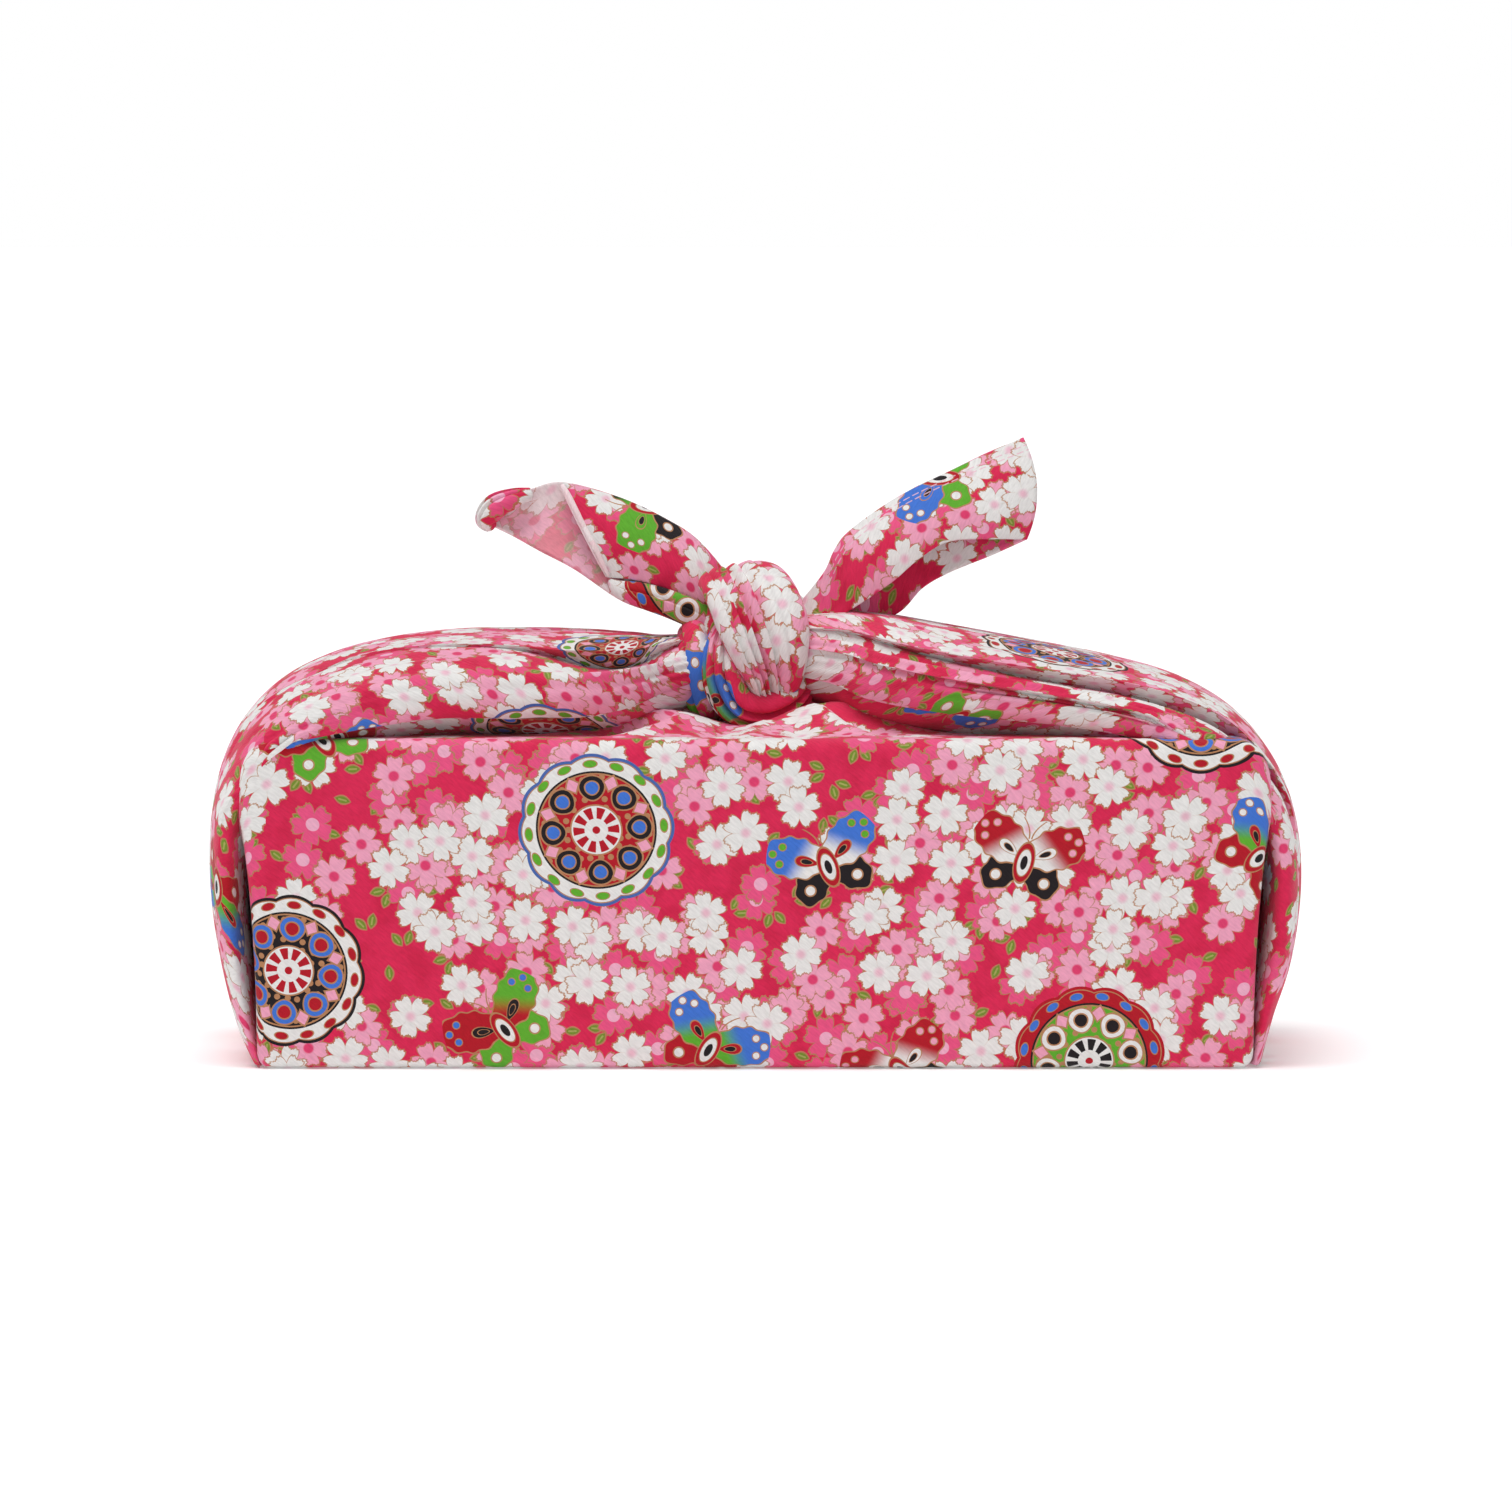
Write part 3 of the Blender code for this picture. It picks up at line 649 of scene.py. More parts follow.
def band(name, rows, pleats, start, heart=KNOT_HEART):
    """A flattened tube along a curve: width x cos(turn) sideways and thickness x sin(turn) away from
    the heart of the knot, less the pleats, each a lip with a valley beside it, deeper along the band."""
    table = through(rows, BAND_STEPS)
    middle = table[:, :3]
    along = unit(np.gradient(middle, axis=0))
    outward = middle - np.array(heart)
    outward = unit(outward - along * (outward * along).sum(1, keepdims=True))
    sideways = np.cross(along, outward)
    turn = np.linspace(0, 2 * np.pi, BAND_AROUND, endpoint=False)
    across = np.cos(turn)
    sunk = 0.0
    for place, depth, lip in pleats:
        past = lip * (place - across)
        sunk = sunk + depth * np.exp(-np.maximum(past, 0) / PLEAT_RUN) * (past > 0)
    deeper = np.minimum(1, np.linspace(PLEAT_START, PLEAT_END, len(table)))[:, None]
    pleated = 1 - deeper * sunk * np.clip(PLEAT_EDGES * np.sin(turn), 0, 1)
    wide = table[:, 3, None] * across
    thick = table[:, 4, None] * np.sin(turn) * pleated
    points = middle[:, None] + wide[..., None] * sideways[:, None] + thick[..., None] * outward[:, None]
    joined = np.concatenate((points, points[:, :1]), 1)
    places = shifted(walked(middle, 0)[:, None], walked(joined, 1).mean(0)[None], start)
    return cloth_piece(name, pointed(points), places, turned=True)


def knot_core(start):
    """The rounded middle of the knot: an ellipsoid, with its poles pulled to a point."""
    rise = np.linspace(-np.pi / 2, np.pi / 2, CORE_RINGS)[:, None]
    turn = np.linspace(0, 2 * np.pi, CORE_AROUND + 1)[None]
    around = turn[:, :-1]
    ball = (np.cos(rise) * np.cos(around), np.cos(rise) * np.sin(around), np.sin(rise))
    points = np.array(KNOT_HEART) + np.array(KNOT_HEART_SIZE) * np.stack(np.broadcast_arrays(*ball), -1)
    return cloth_piece("knot_core", pointed(points), shifted(CORE_PRINT * turn, CORE_PRINT * rise, start))


knot = [
    knot_core((300.0, 600.0)),
    band("front_band", FRONT_BAND, FRONT_PLEATS, (-108.0, 30.0)),
    band("under_band", UNDER_BAND, UNDER_PLEATS, (100.0, 600.0)),
    band("collar_band", COLLAR_BAND, COLLAR_PLEATS, (160.0, 600.0)),
    band("back_band", BACK_BAND, BACK_PLEATS, (220.0, 600.0)),
]
print("knot pieces:", [piece.name for piece in knot])

# %% [markdown]
# ## The free ends
#
# Each free end is a corner of the cloth folded along its top edge, so it shows a front layer and,
# where that stops, the back layer. Each layer is a leaf of its own, and the two meet along the fold.

# %% Leaves of the free ends
# Columns: top edge x, y, z, then bottom edge x, y, z, then how far the leaf bows to the front
LEFT_FRONT_LEAF = (
    (-3, 1, 107, -4, -3, 98, 1.5),
    (-12.6, 0.4, 119, -13, -4, 104.4, 2.4),
    (-21, 0.2, 124.8, -21.5, -4.6, 108.6, 2.8),
    (-32.3, 0.2, 130, -28.8, -4.4, 110.6, 2.8),
    (-45.4, 0.4, 133.4, -34.6, -3, 111, 2),
)
LEFT_BACK_LEAF = (
    (-3, 2, 107, -4, 1, 95, 0.5),
    (-12.6, 1.4, 119, -15.2, -2.2, 100.6, -1),
    (-21, 1.2, 124.8, -22.8, -3.4, 102.6, -1.6),
    (-32.3, 1.2, 130, -31.6, -3.2, 105.6, -2),
    (-45.4, 2.2, 133.4, -42.4, -2.2, 112.8, -1.6),
    (-53.2, 2.8, 131.7, -50.6, -1.2, 117.1, -1.6),
    (-59, 3, 130.3, -57, 0.2, 120.6, -1.2),
    (-63.8, 2.8, 128.6, -61.6, 1.2, 122.8, -0.6),
)
RIGHT_FRONT_LEAF = (
    (8, 1, 102, 10, -3, 96, 0.5),
    (15.8, 0.2, 111.6, 20, -4.6, 102, 1),
    (18.6, 0, 117.4, 26.6, -6, 106.2, 1.8),
    (22.2, 0, 122, 32.8, -6.8, 110.6, 2.2),
    (32.6, 0.2, 129.4, 38.8, -7, 115.8, 2.4),
    (43.6, 0.4, 135, 45.8, -6.8, 119.7, 2.4),
    (53.8, 0.6, 139.8, 56, -6.4, 120.2, 2.2),
    (63.2, 0.8, 144, 64, -3.6, 120, 1.6),
)
RIGHT_BACK_LEAF = (
    (8, 2, 102, 12, 1, 95, 0),
    (15.8, 1.6, 111.6, 25, 2, 99, 0),
    (22.2, 1.4, 121.8, 34, 2, 102.6, -0.8),
    (35.4, 1.6, 130.9, 39.6, 1.8, 108.4, -1.4),
    (45.8, 1.8, 136, 46.2, 1.2, 112.2, -1.6),
    (54.8, 2, 140.4, 55.4, 0, 116, -1.2),
    (63.2, 2, 143.8, 64, -2.6, 120, -0.4),
)
RIGHT_END_BOW = 2.8
LEAF_ACROSS = 44
LEAF_STEPS = 12
# The left tip curls over to the front. Columns: x, y, z, half width, half thickness
LEFT_CURL = (
    (-52.4, 0.6, 130.8, 1.4, 1.4),
    (-57, -0.6, 129.6, 2.6, 2.4),
    (-61.4, -0.8, 127.6, 3.2, 3),
    (-63.4, -0.2, 124.6, 2.6, 2.6),
    (-62, 1, 122.6, 1.4, 1.4),
)
# The narrow rolled hem at the end of the left front layer, and the roll of cloth below that layer
LEFT_HEM = (
    (-45.6, 0, 133, 0.5, 0.5),
    (-43.9, -1.6, 129.8, 0.85, 0.75),
    (-40.6, -3.4, 123.2, 0.85, 0.75),
    (-37, -4, 116.2, 0.85, 0.75),
    (-34.5, -3.6, 111, 0.5, 0.5),
)
LEFT_ROLL = (
    (-34.6, -3.4, 110.4, 0.6, 0.6),
    (-31.4, -4.2, 108.2, 2.3, 1.7),
    (-26.5, -4.9, 106.9, 3, 2.2),
    (-19.6, -5, 104.7, 3.3, 2.4),
    (-12.6, -4.4, 101.6, 3.3, 2.4),
    (-6, -3, 98, 2.6, 2),
)
BEHIND_LEFT_TAIL = (-30.0, 40.0, 110.0)


def leaf(name, rows, start, end_bow=0.0, front=True):
    """One layer of a free end: straight from its top edge to its bottom edge, bowed to the front by
    4 s (1 - s) times the row's bow, where s is the share of the way down. end_bow bows the end itself."""
    table = through(rows, LEAF_STEPS)
    across = np.linspace(0, 1, LEAF_ACROSS)
    arch = 4 * across * (1 - across)
    top, bottom = table[:, None, 0:3], table[:, None, 3:6]
    points = top + (bottom - top) * across[:, None]
    points[..., FRONT_AXIS] -= table[:, 6, None] * arch
    reach = np.linspace(0, 1, len(table))[:, None] ** 4
    points[..., 0] += end_bow * reach * arch
    places = shifted(walked(points, 0), walked(points, 1), start)
    return cloth_piece(name, points, places, CLOTH_THICK, (table[-1, 0] > 0) != front)


tails = [
    leaf("left_front_leaf", LEFT_FRONT_LEAF, (400.0, 600.0)),
    leaf("left_back_leaf", LEFT_BACK_LEAF, (500.0, 600.0), front=False),
    leaf("right_front_leaf", RIGHT_FRONT_LEAF, (600.0, 600.0), RIGHT_END_BOW),
    leaf("right_back_leaf", RIGHT_BACK_LEAF, (700.0, 600.0), RIGHT_END_BOW, front=False),
]
curl = band("left_curl", LEFT_CURL, ((-0.2, 0.4, 1), (0.4, 0.4, 1)), (832.0, 622.0), (-58.0, 3.0, 124.0))
hem = band("left_hem", LEFT_HEM, ((0.5, 0.5, 1),), (440.0, 700.0), BEHIND_LEFT_TAIL)
roll = band("left_roll", LEFT_ROLL, ((-0.2, 0.3, 1),), (360.0, 700.0), BEHIND_LEFT_TAIL)
print("free ends:", [piece.name for piece in (*tails, curl, hem, roll)])

# %% [markdown]
# ## Shader maths in Python
#
# The print is drawn by maths on the flat cloth, so its nodes are written as expressions. One small
# class, a thread, stands for a socket, and its operators add Math nodes. Another, a loom, holds a node
# tree, and adds any other node from its type, its settings and its values.

# %% Threads and looms
class Thread:
    """One socket of a node tree, which Python's operators join into Math nodes."""

    def __init__(self, loom, socket):
        self.loom, self.socket = loom, socket

    def __add__(self, other):
        return self.loom.maths("ADD", self, other)

    def __sub__(self, other):
        return self.loom.maths("SUBTRACT", self, other)

    def __rsub__(self, other):
        return self.loom.maths("SUBTRACT", other, self)

    def __mul__(self, other):
        return self.loom.maths("MULTIPLY", self, other)

    def __truediv__(self, other):
        return self.loom.maths("DIVIDE", self, other)

    def __lt__(self, other):
        return self.loom.maths("LESS_THAN", self, other)

    def __gt__(self, other):
        return self.loom.maths("GREATER_THAN", self, other)

    def __abs__(self):
        return self.loom.maths("ABSOLUTE", self)

    __radd__ = __add__
    __rmul__ = __mul__


def squared(thread):
    """A thread times itself."""
    return thread * thread


class Loom:
    """A node tree whose nodes are added one by one, each from its type, settings and values."""

    def __init__(self, owner):
        owner.use_nodes = True
        self.tree = owner.node_tree

    def node(self, kind, settings=None, values=None, out=0):
        """Adds a node. values go to its inputs by name or number; a ramp's stops are a setting."""
        made = self.tree.nodes.new(kind)
        for name, value in (settings or {}).items():
            if name == "stops":
                self.set_stops(made.color_ramp, value)
            elif name == "blend":
                made.color_ramp.interpolation = value
            else:
                setattr(made, name, value)
        for name, value in (values or {}).items():
            self.join(value, made.inputs[name])
        return Thread(self, made.outputs[out])

    def set_up(self, name, values):
        """Gives values or threads to the inputs of a node that the tree already has."""
        for socket, value in values.items():
            self.join(value, self.tree.nodes[name].inputs[socket])

    def set_stops(self, ramp, stops):
        while len(ramp.elements) < len(stops):
            ramp.elements.new(1.0)
        for element, (place, colour) in zip(ramp.elements, stops):
            element.position = place
            element.color = colour if isinstance(colour, tuple) else (colour, colour, colour, 1.0)

    def join(self, value, socket):
        """Links a thread to an input, or sets the input to a plain value."""
        if isinstance(value, Thread):
            self.tree.links.new(value.socket, socket)
        else:
            socket.default_value = value

    def maths(self, operation, *values):
        return self.node("ShaderNodeMath", {"operation": operation}, dict(enumerate(values)))

    def vector(self, operation, *values, out=0):
        return self.node("ShaderNodeVectorMath", {"operation": operation}, dict(enumerate(values)), out)

    def length(self, vector):
        return self.vector("LENGTH", vector, out="Value")

    def scaled(self, vector, factor):
        return self.node("ShaderNodeVectorMath", {"operation": "SCALE"}, {0: vector, "Scale": factor})

    def noise(self, vector, **values):
        return self.node("ShaderNodeTexNoise", {"noise_dimensions": "2D"}, {"Vector": vector, **values})

    def cells(self, vector, scale, randomness, out):
        values = {"Vector": vector, "Scale": scale, "Randomness": randomness}
        return self.node("ShaderNodeTexVoronoi", {"voronoi_dimensions": "2D"}, values, out)

    def split(self, vector):
        made = self.node("ShaderNodeSeparateXYZ", {}, {0: vector})
        return [Thread(self, output) for output in made.socket.node.outputs]

    def turned(self, vector, angle):
        values = {"Vector": vector, "Angle": angle}
        return self.node("ShaderNodeVectorRotate", {"rotation_type": "Z_AXIS"}, values)

    def graded(self, value, stops, blend="LINEAR"):
        return self.node("ShaderNodeValToRGB", {"stops": stops, "blend": blend}, {0: value})

    def eased(self, value, low, high):
        settings = {"interpolation_type": "SMOOTHSTEP"}
        return self.node("ShaderNodeMapRange", settings, {"Value": value, "From Min": low, "From Max": high})

    def painted(self, under, over, where):
        """One colour over another where the mask is 1."""
        return self.node("ShaderNodeMix", {"data_type": "RGBA"}, {0: where, 6: under, 7: over}, 2)

    def layered(self, colour, *layers):
        """Layers painted one over another, each a colour and its mask."""
        for over, where in layers:
            colour = self.painted(colour, over, where)
        return colour

    def chosen(self, first, second, where):
        """The second vector where the mask is 1, and the first elsewhere."""
        return self.node("ShaderNodeMix", {"data_type": "VECTOR"}, {0: where, 4: first, 5: second}, 1)


def dyed(red, green, blue):
    """A printed colour from 0 to 255, as the eye sees it, turned into the light that it reflects."""
    seen = np.array((red, green, blue)) / 255
    light = np.where(seen <= 0.04045, seen / 12.92, ((seen + 0.055) / 1.055) ** 2.4)
    return (*light.tolist(), 1.0)


print("crimson reflects:", [round(part, 3) for part in dyed(224, 36, 84)])

# %% [markdown]
# ## The print: cherry blossoms
#
# The cloth is crimson, crowded with cherry blossoms of about 10 mm in white and two pinks, each with a
# thin gold line round it. Scattered cells give each blossom its place, size and turn, and several
# layers of cells, each at its own pitch and angle, overlap as the real print does. A slow noise,
# shared by all layers, gathers them into clusters and leaves bare crimson between.

# %% Colours of the print
CRIMSON = dyed(224, 36, 84)
DEEP_CRIMSON = dyed(212, 28, 74)
GOLD = dyed(186, 132, 92)
WHITE = dyed(237, 235, 233)
WHITE_HEART = dyed(238, 190, 206)
PINK = dyed(244, 166, 194)
PINK_HEART = dyed(228, 62, 112)
ROSE = dyed(238, 84, 134)
ROSE_HEART = dyed(244, 178, 204)
LEAF_GREEN = dyed(118, 144, 46)
LEAF_VEIN = dyed(168, 170, 92)
BLACK = dyed(28, 20, 24)
BLUE = dyed(64, 118, 214)
RED = dyed(184, 12, 34)
BRIGHT_GREEN = dyed(96, 176, 44)

# %% Blossoms
# Share of the full radius at the petal's edge, from its middle line, 0, to the gap between two, 1
PETAL_EDGE = (
    (0.0, 0.83), (0.1, 0.9), (0.17, 0.88), (0.32, 1.0), (0.43, 0.94), (0.55, 0.98), (0.74, 0.84), (1.0, 0.54))
PETALS = 5
# A blossom's radius is its layer's, times the first number plus up to the second
LEAST_SIZE, MORE_SIZE = 0.92, 0.12
OUTLINE = 0.42
# The thin line between two petals: from which share of a petal, from which share of the radius, strength
SEAM_FROM, SEAM_INNER, SEAM_STRENGTH = 0.9, 0.3, 0.12
TURN = 2 * np.pi
CLUSTER_SIZE = 36.0
CLUSTER_SPREAD = 0.62
SCATTER = 0.46
# Where the blossoms crowd, or thin out below 0. Columns: across and up the print, reach, how much
CROWDS = (
    (24.0, 82.0, 36.0, 0.28),
    (124.0, 613.0, 18.0, -0.6),
)
# Columns: petal colour, heart colour, heart radius where full and where gone, outline strength
WHITE_BLOSSOM = (WHITE, WHITE_HEART, 0.3, 1.7, 0.8)
PINK_BLOSSOM = (PINK, PINK_HEART, 0.9, 1.5, 0.8)
ROSE_BLOSSOM = (ROSE, ROSE_HEART, 1.45, 1.6, 0.95)
# Layers from the lowest up. Columns: kind, pitch, angle in degrees, shift, cluster level, radius
BLOSSOM_LAYERS = (
    (ROSE_BLOSSOM, 12.6, 17.0, 3.0, 0.40, 4.9),
    (ROSE_BLOSSOM, 13.4, 52.0, 41.0, 0.44, 4.8),
    (PINK_BLOSSOM, 13.2, 71.0, 77.0, 0.44, 4.9),
    (PINK_BLOSSOM, 14.6, 33.0, 113.0, 0.47, 4.8),
    (WHITE_BLOSSOM, 13.2, 8.0, 151.0, 0.48, 5.1),
    (WHITE_BLOSSOM, 15.0, 61.0, 197.0, 0.51, 5.1),
)


def scattered(cloth, place, pitch, angle, shift):
    """Cells about pitch apart: each point's way from its cell's middle, that middle, and three dice."""
    turned = cloth.turned(cloth.vector("ADD", place, (shift, shift / 2, 0.0)), np.radians(angle))
    cells = cloth.cells(turned, 1 / pitch, SCATTER, "Position")
    colour = Thread(cloth, cells.socket.node.outputs["Color"])
    middle = cloth.turned(cells, -np.radians(angle))
    return cloth.vector("SUBTRACT", turned, cells), middle, cloth.split(colour)


def crowding(cloth, middle, shift):
    """How crowded the print is at a cell's middle: a slow noise, and a soft spot for each row of CROWDS."""
    flat = cloth.vector("SUBTRACT", middle, (shift, shift / 2, 0.0))
    crowd = cloth.noise(flat, Scale=1 / CLUSTER_SIZE, Detail=1.0)
    for across, up, reach, more in CROWDS:
        away = cloth.length(cloth.vector("SUBTRACT", flat, (across, up, 0.0)))
        crowd = crowd + (1 - cloth.eased(away, 0.0, reach)) * more
    return crowd


def blossom_layer(cloth, under, place, kind, pitch, angle, shift, level, radius):
    """Blossoms over what is under them: the edge lies at radius x PETAL_EDGE of the share of a petal."""
    petal, heart, heart_full, heart_gone, outline = kind
    way, middle, (dice, spin, size) = scattered(cloth, place, pitch, angle, shift)
    shown = (crowding(cloth, middle, shift) + (dice - 0.5) * CLUSTER_SPREAD) > level
    x, y, _ = cloth.split(way)
    away = cloth.length(way)
    turn = cloth.maths("ARCTAN2", y, x) * (PETALS / TURN) + (spin * PETALS + PETALS)
    share = cloth.maths("PINGPONG", turn, 0.5) * 2
    edge = cloth.graded(share, PETAL_EDGE) * (radius * LEAST_SIZE + size * (radius * MORE_SIZE))
    seam = (share > SEAM_FROM) * (away > radius * SEAM_INNER) * SEAM_STRENGTH
    heart_mask = 1 - cloth.eased(away, heart_full, heart_gone)
    inside = cloth.layered(petal, (heart, heart_mask), (GOLD, seam))
    line = (away < (edge + OUTLINE)) * shown * outline
    return cloth.layered(under, (GOLD, line), (inside, (away < edge) * shown))


# %% Leaves
LEAF_PITCH, LEAF_ANGLE, LEAF_SHIFT = 8.4, 25.0, 233.0
LEAF_HALF_LENGTH, LEAF_HALF_WIDTH = 1.7, 0.86
LEAF_LEVEL, LEAF_SPREAD = 0.53, 0.3
LEAF_LINE, LEAF_FILL = 1.35, 0.92
VEIN_WIDE, VEIN_LONG = 0.2, 0.95
PAIRED_ABOVE = 0.45
PAIR_TILT = 28.0
PAIR_APART = 1.35


def leaf_layer(cloth, under, place):
    """Small leaves, alone or in pairs: inside where |u| / width + (v / length)^2 is under 1."""
    way, middle, (dice, spin, pair) = scattered(cloth, place, LEAF_PITCH, LEAF_ANGLE, LEAF_SHIFT)
    shown = (crowding(cloth, middle, LEAF_SHIFT) + (dice - 0.5) * LEAF_SPREAD) < LEAF_LEVEL
    x, y, _ = cloth.split(cloth.turned(way, spin * TURN))
    paired = pair > PAIRED_ABOVE
    x = x + paired * (abs(x) - PAIR_APART - x)
    tilt = np.radians(PAIR_TILT)
    u = abs(x * np.cos(tilt) - y * np.sin(tilt))
    v = x * np.sin(tilt) + y * np.cos(tilt)
    edge = u / LEAF_HALF_WIDTH + squared(v / LEAF_HALF_LENGTH)
    vein = (u < VEIN_WIDE) * (abs(v) < VEIN_LONG)
    masks = ((GOLD, edge < LEAF_LINE), (LEAF_GREEN, edge < LEAF_FILL), (LEAF_VEIN, vein))
    return cloth.layered(under, *((paint, mask * shown) for paint, mask in masks))


print("blossom layers:", len(BLOSSOM_LAYERS))

# %% [markdown]
# ## The print: butterflies and roundels
#
# Here and there lie a butterfly or a flower roundel, both old ornaments of such cloth. Each is drawn
# once, round its own middle. A short table places the copies one by one, and a chain of masks hands each
# point of the cloth the place, turn and colours of the copy that it lies in.

# %% Places of the ornaments
# Columns: across and up the print in mm, turn in degrees, colourway
BUTTERFLIES = (
    (16.0, 47.5, 20.0, 0),
    (61.0, 48.5, -12.0, 1),
    (-58.5, 9.5, 38.0, 2),
    (-10.0, 5.0, -30.0, 3),
    (33.0, -1.0, 24.0, 1),
    (115.0, 50.0, -40.0, 3),
    (-97.0, 77.0, 30.0, 2),
    (509.0, -22.5, 10.0, 3),
    (456.0, -3.5, 80.0, 3),
    (970.0, -29.0, 200.0, 4),
    (648.0, 600.0, 118.0, 4),
    (432.0, 600.0, -60.0, 5),
    (190.5, 604.5, 70.0, 4),
    (118.0, 604.0, 50.0, 3),
)
ROUNDELS = (
    (-35.6, 54.5, 4.0, 0),
    (-107.0, 22.0, -8.0, 1),
    (77.0, 1.0, 12.0, 2),
    (99.0, 85.0, 0.0, 1),
    (558.5, -29.0, 0.0, 0),
    (587.0, 23.0, 0.0, 0),
    (960.0, 39.0, 0.0, 1),
    (380.0, 714.0, 0.0, 2),
    (330.0, 610.0, 0.0, 0),
)
BUTTERFLY_REACH = 13.5
ROUNDEL_REACH = 19.0
FAR_AWAY = (500.0, 500.0, 0.0)


def nearest_ornament(cloth, place, table, reach):
    """The way from the middle of the ornament that each point lies in, turned with it, and its colourway."""
    packed = FAR_AWAY
    kind = 0.0
    for across, up, angle, colourway in table:
        moved = cloth.vector("SUBTRACT", place, (across, up, 0.0))
        inside = cloth.length(moved) < reach
        moved = cloth.vector("ADD", moved, (0.0, 0.0, np.radians(-angle)))
        packed = cloth.chosen(packed, moved, inside)
        kind = kind + inside * colourway if colourway else kind
    x, y, angle = cloth.split(packed)
    flat = cloth.node("ShaderNodeCombineXYZ", {}, {0: x, 1: y})
    return cloth.turned(flat, angle), kind


# %% Butterflies
# Columns: wing's middle x and y, its long axis in degrees, half length, half width, scallops
FORE_WING = (6.6, 3.0, 30.0, 7.2, 4.6, 9)
HIND_WING = (4.6, -4.2, -50.0, 5.0, 3.6, 7)
SCALLOP = 0.1
# For each colourway 0 to 5: left wing, right wing, what both fade to at the body, drops, hind wings and
# the dots of the fore wings
LEFT_WINGS = (BLUE, RED, RED, BLUE, BLUE, BRIGHT_GREEN)
RIGHT_WINGS = (BLUE, RED, BRIGHT_GREEN, BLUE, BLUE, BLACK)
WING_HEARTS = (WHITE, WHITE, RED, BRIGHT_GREEN, BLUE, BRIGHT_GREEN)
WING_DROPS = (RED, WHITE, BLACK, RED, BLUE, BRIGHT_GREEN)
HIND_WINGS = (BLACK, BLACK, BRIGHT_GREEN, RED, BRIGHT_GREEN, BLACK)
WING_DOTS = (BRIGHT_GREEN, PINK, BLUE, WHITE, WHITE, WHITE)
# Level of the fore wing's colour, where along the wing it fades, and what puts a point out of every ring
WING_FILL = 0.98
WING_FADE = (-4.2, 2.4)
OUT_OF_REACH = 9.0
# Rings of each part from the outside in. Columns: colour, level of the part's formula
HIND_RINGS = ((GOLD, 1.16), (HIND_WINGS, 1.0))
HIND_DOT_RINGS = ((GOLD, 1.9), (WHITE, 1.1))
DROP_RINGS = ((GOLD, 1.15), (WING_DROPS, 0.9), (GOLD, 0.32), (BLACK, 0.22))
WING_DOT_RINGS = ((GOLD, 0.95), (WING_DOTS, 0.55))
BODY_RINGS = ((GOLD, 1.12), (RED, 0.92), (GOLD, 0.5), (WHITE, 0.42), (BLACK, 0.12))


def by_colourway(cloth, kind, colours):
    """The colour of this colourway, from a ramp with one flat step for each."""
    count = len(colours)
    return cloth.graded((kind + 0.5) / count, [(i / count, c) for i, c in enumerate(colours)], "CONSTANT")


def ringed(cloth, colour, kind, field, rings):
    """Rings painted from the outside in: each where the field is under the ring's level, in one colour or,
    from a table of colours, in that of the colourway."""
    for paint, level in rings:
        if isinstance(paint, tuple) and isinstance(paint[0], tuple):
            paint = by_colourway(cloth, kind, paint)
        colour = cloth.painted(colour, paint, field < level)
    return colour


def wing(cloth, x, y, shape):
    """(u / length)^2 + (v / width)^2 round a wing's middle, with a scalloped edge, and u and v."""
    middle_x, middle_y, angle, long, wide, scallops = shape
    c, s = np.cos(np.radians(angle)), np.sin(np.radians(angle))
    u = (x - middle_x) * c + (y - middle_y) * s
    v = (y - middle_y) * c - (x - middle_x) * s
    wave = cloth.maths("SINE", cloth.maths("ARCTAN2", v, u) * scallops) * SCALLOP
    return (squared(u) / long**2 + squared(v) / wide**2) * (wave + 1), u, v


def butterflies(cloth, under, place):
    """A butterfly with its wings spread: both halves are drawn at once, from |x|, each in its own colour."""
    way, kind = nearest_ornament(cloth, place, BUTTERFLIES, BUTTERFLY_REACH)
    side, y, _ = cloth.split(way)
    x = abs(side)
    fore, u, v = wing(cloth, x, y, FORE_WING)
    hind, hind_u, hind_v = wing(cloth, x, y, HIND_WING)
    left_paint, right_paint, heart_paint = (
        by_colourway(cloth, kind, colours) for colours in (LEFT_WINGS, RIGHT_WINGS, WING_HEARTS))
    field = cloth.painted(left_paint, right_paint, side > 0.0)
    faded = cloth.painted(heart_paint, field, cloth.eased(u + y * 0.5, *WING_FADE))
    hind_dot = squared(hind_u - 1.6) + squared(hind_v)
    drop = squared(u + 3.0) / 7.0 + squared(v + 0.4) / (abs(u + 5.4) * 0.42 + 0.3)
    drop = drop + (fore > WING_FILL) * OUT_OF_REACH
    pair_of_dots = squared(u - 3.0) + squared(abs(v) - 2.0)
    dots = cloth.maths("MINIMUM", pair_of_dots, squared(u - 4.9) + squared(v))
    feeler = (abs(x - 0.3 - squared(y - 4) * 0.11) < 0.17) * (y > 4.0) * (y < 8.6)
    body = squared(x) / 5.0 + squared(y + 1.6) / 22.0
    colour = ringed(cloth, under, kind, hind, HIND_RINGS)
    colour = ringed(cloth, colour, kind, hind_dot, HIND_DOT_RINGS)
    colour = ringed(cloth, colour, kind, fore, ((GOLD, 1.12), (faded, WING_FILL)))
    colour = ringed(cloth, colour, kind, drop, DROP_RINGS)
    colour = ringed(cloth, colour, kind, dots, WING_DOT_RINGS)
    colour = cloth.painted(colour, GOLD, feeler)
    return ringed(cloth, colour, kind, body, BODY_RINGS)


# %% Flower roundels
ROUNDEL_RADIUS = 17.6
RIM_SCALLOPS = 12
RIM_DOTS = 16
FLOWER_PETALS = 8
WHEEL_PETALS = 10
SEED_PITCH = 2.3
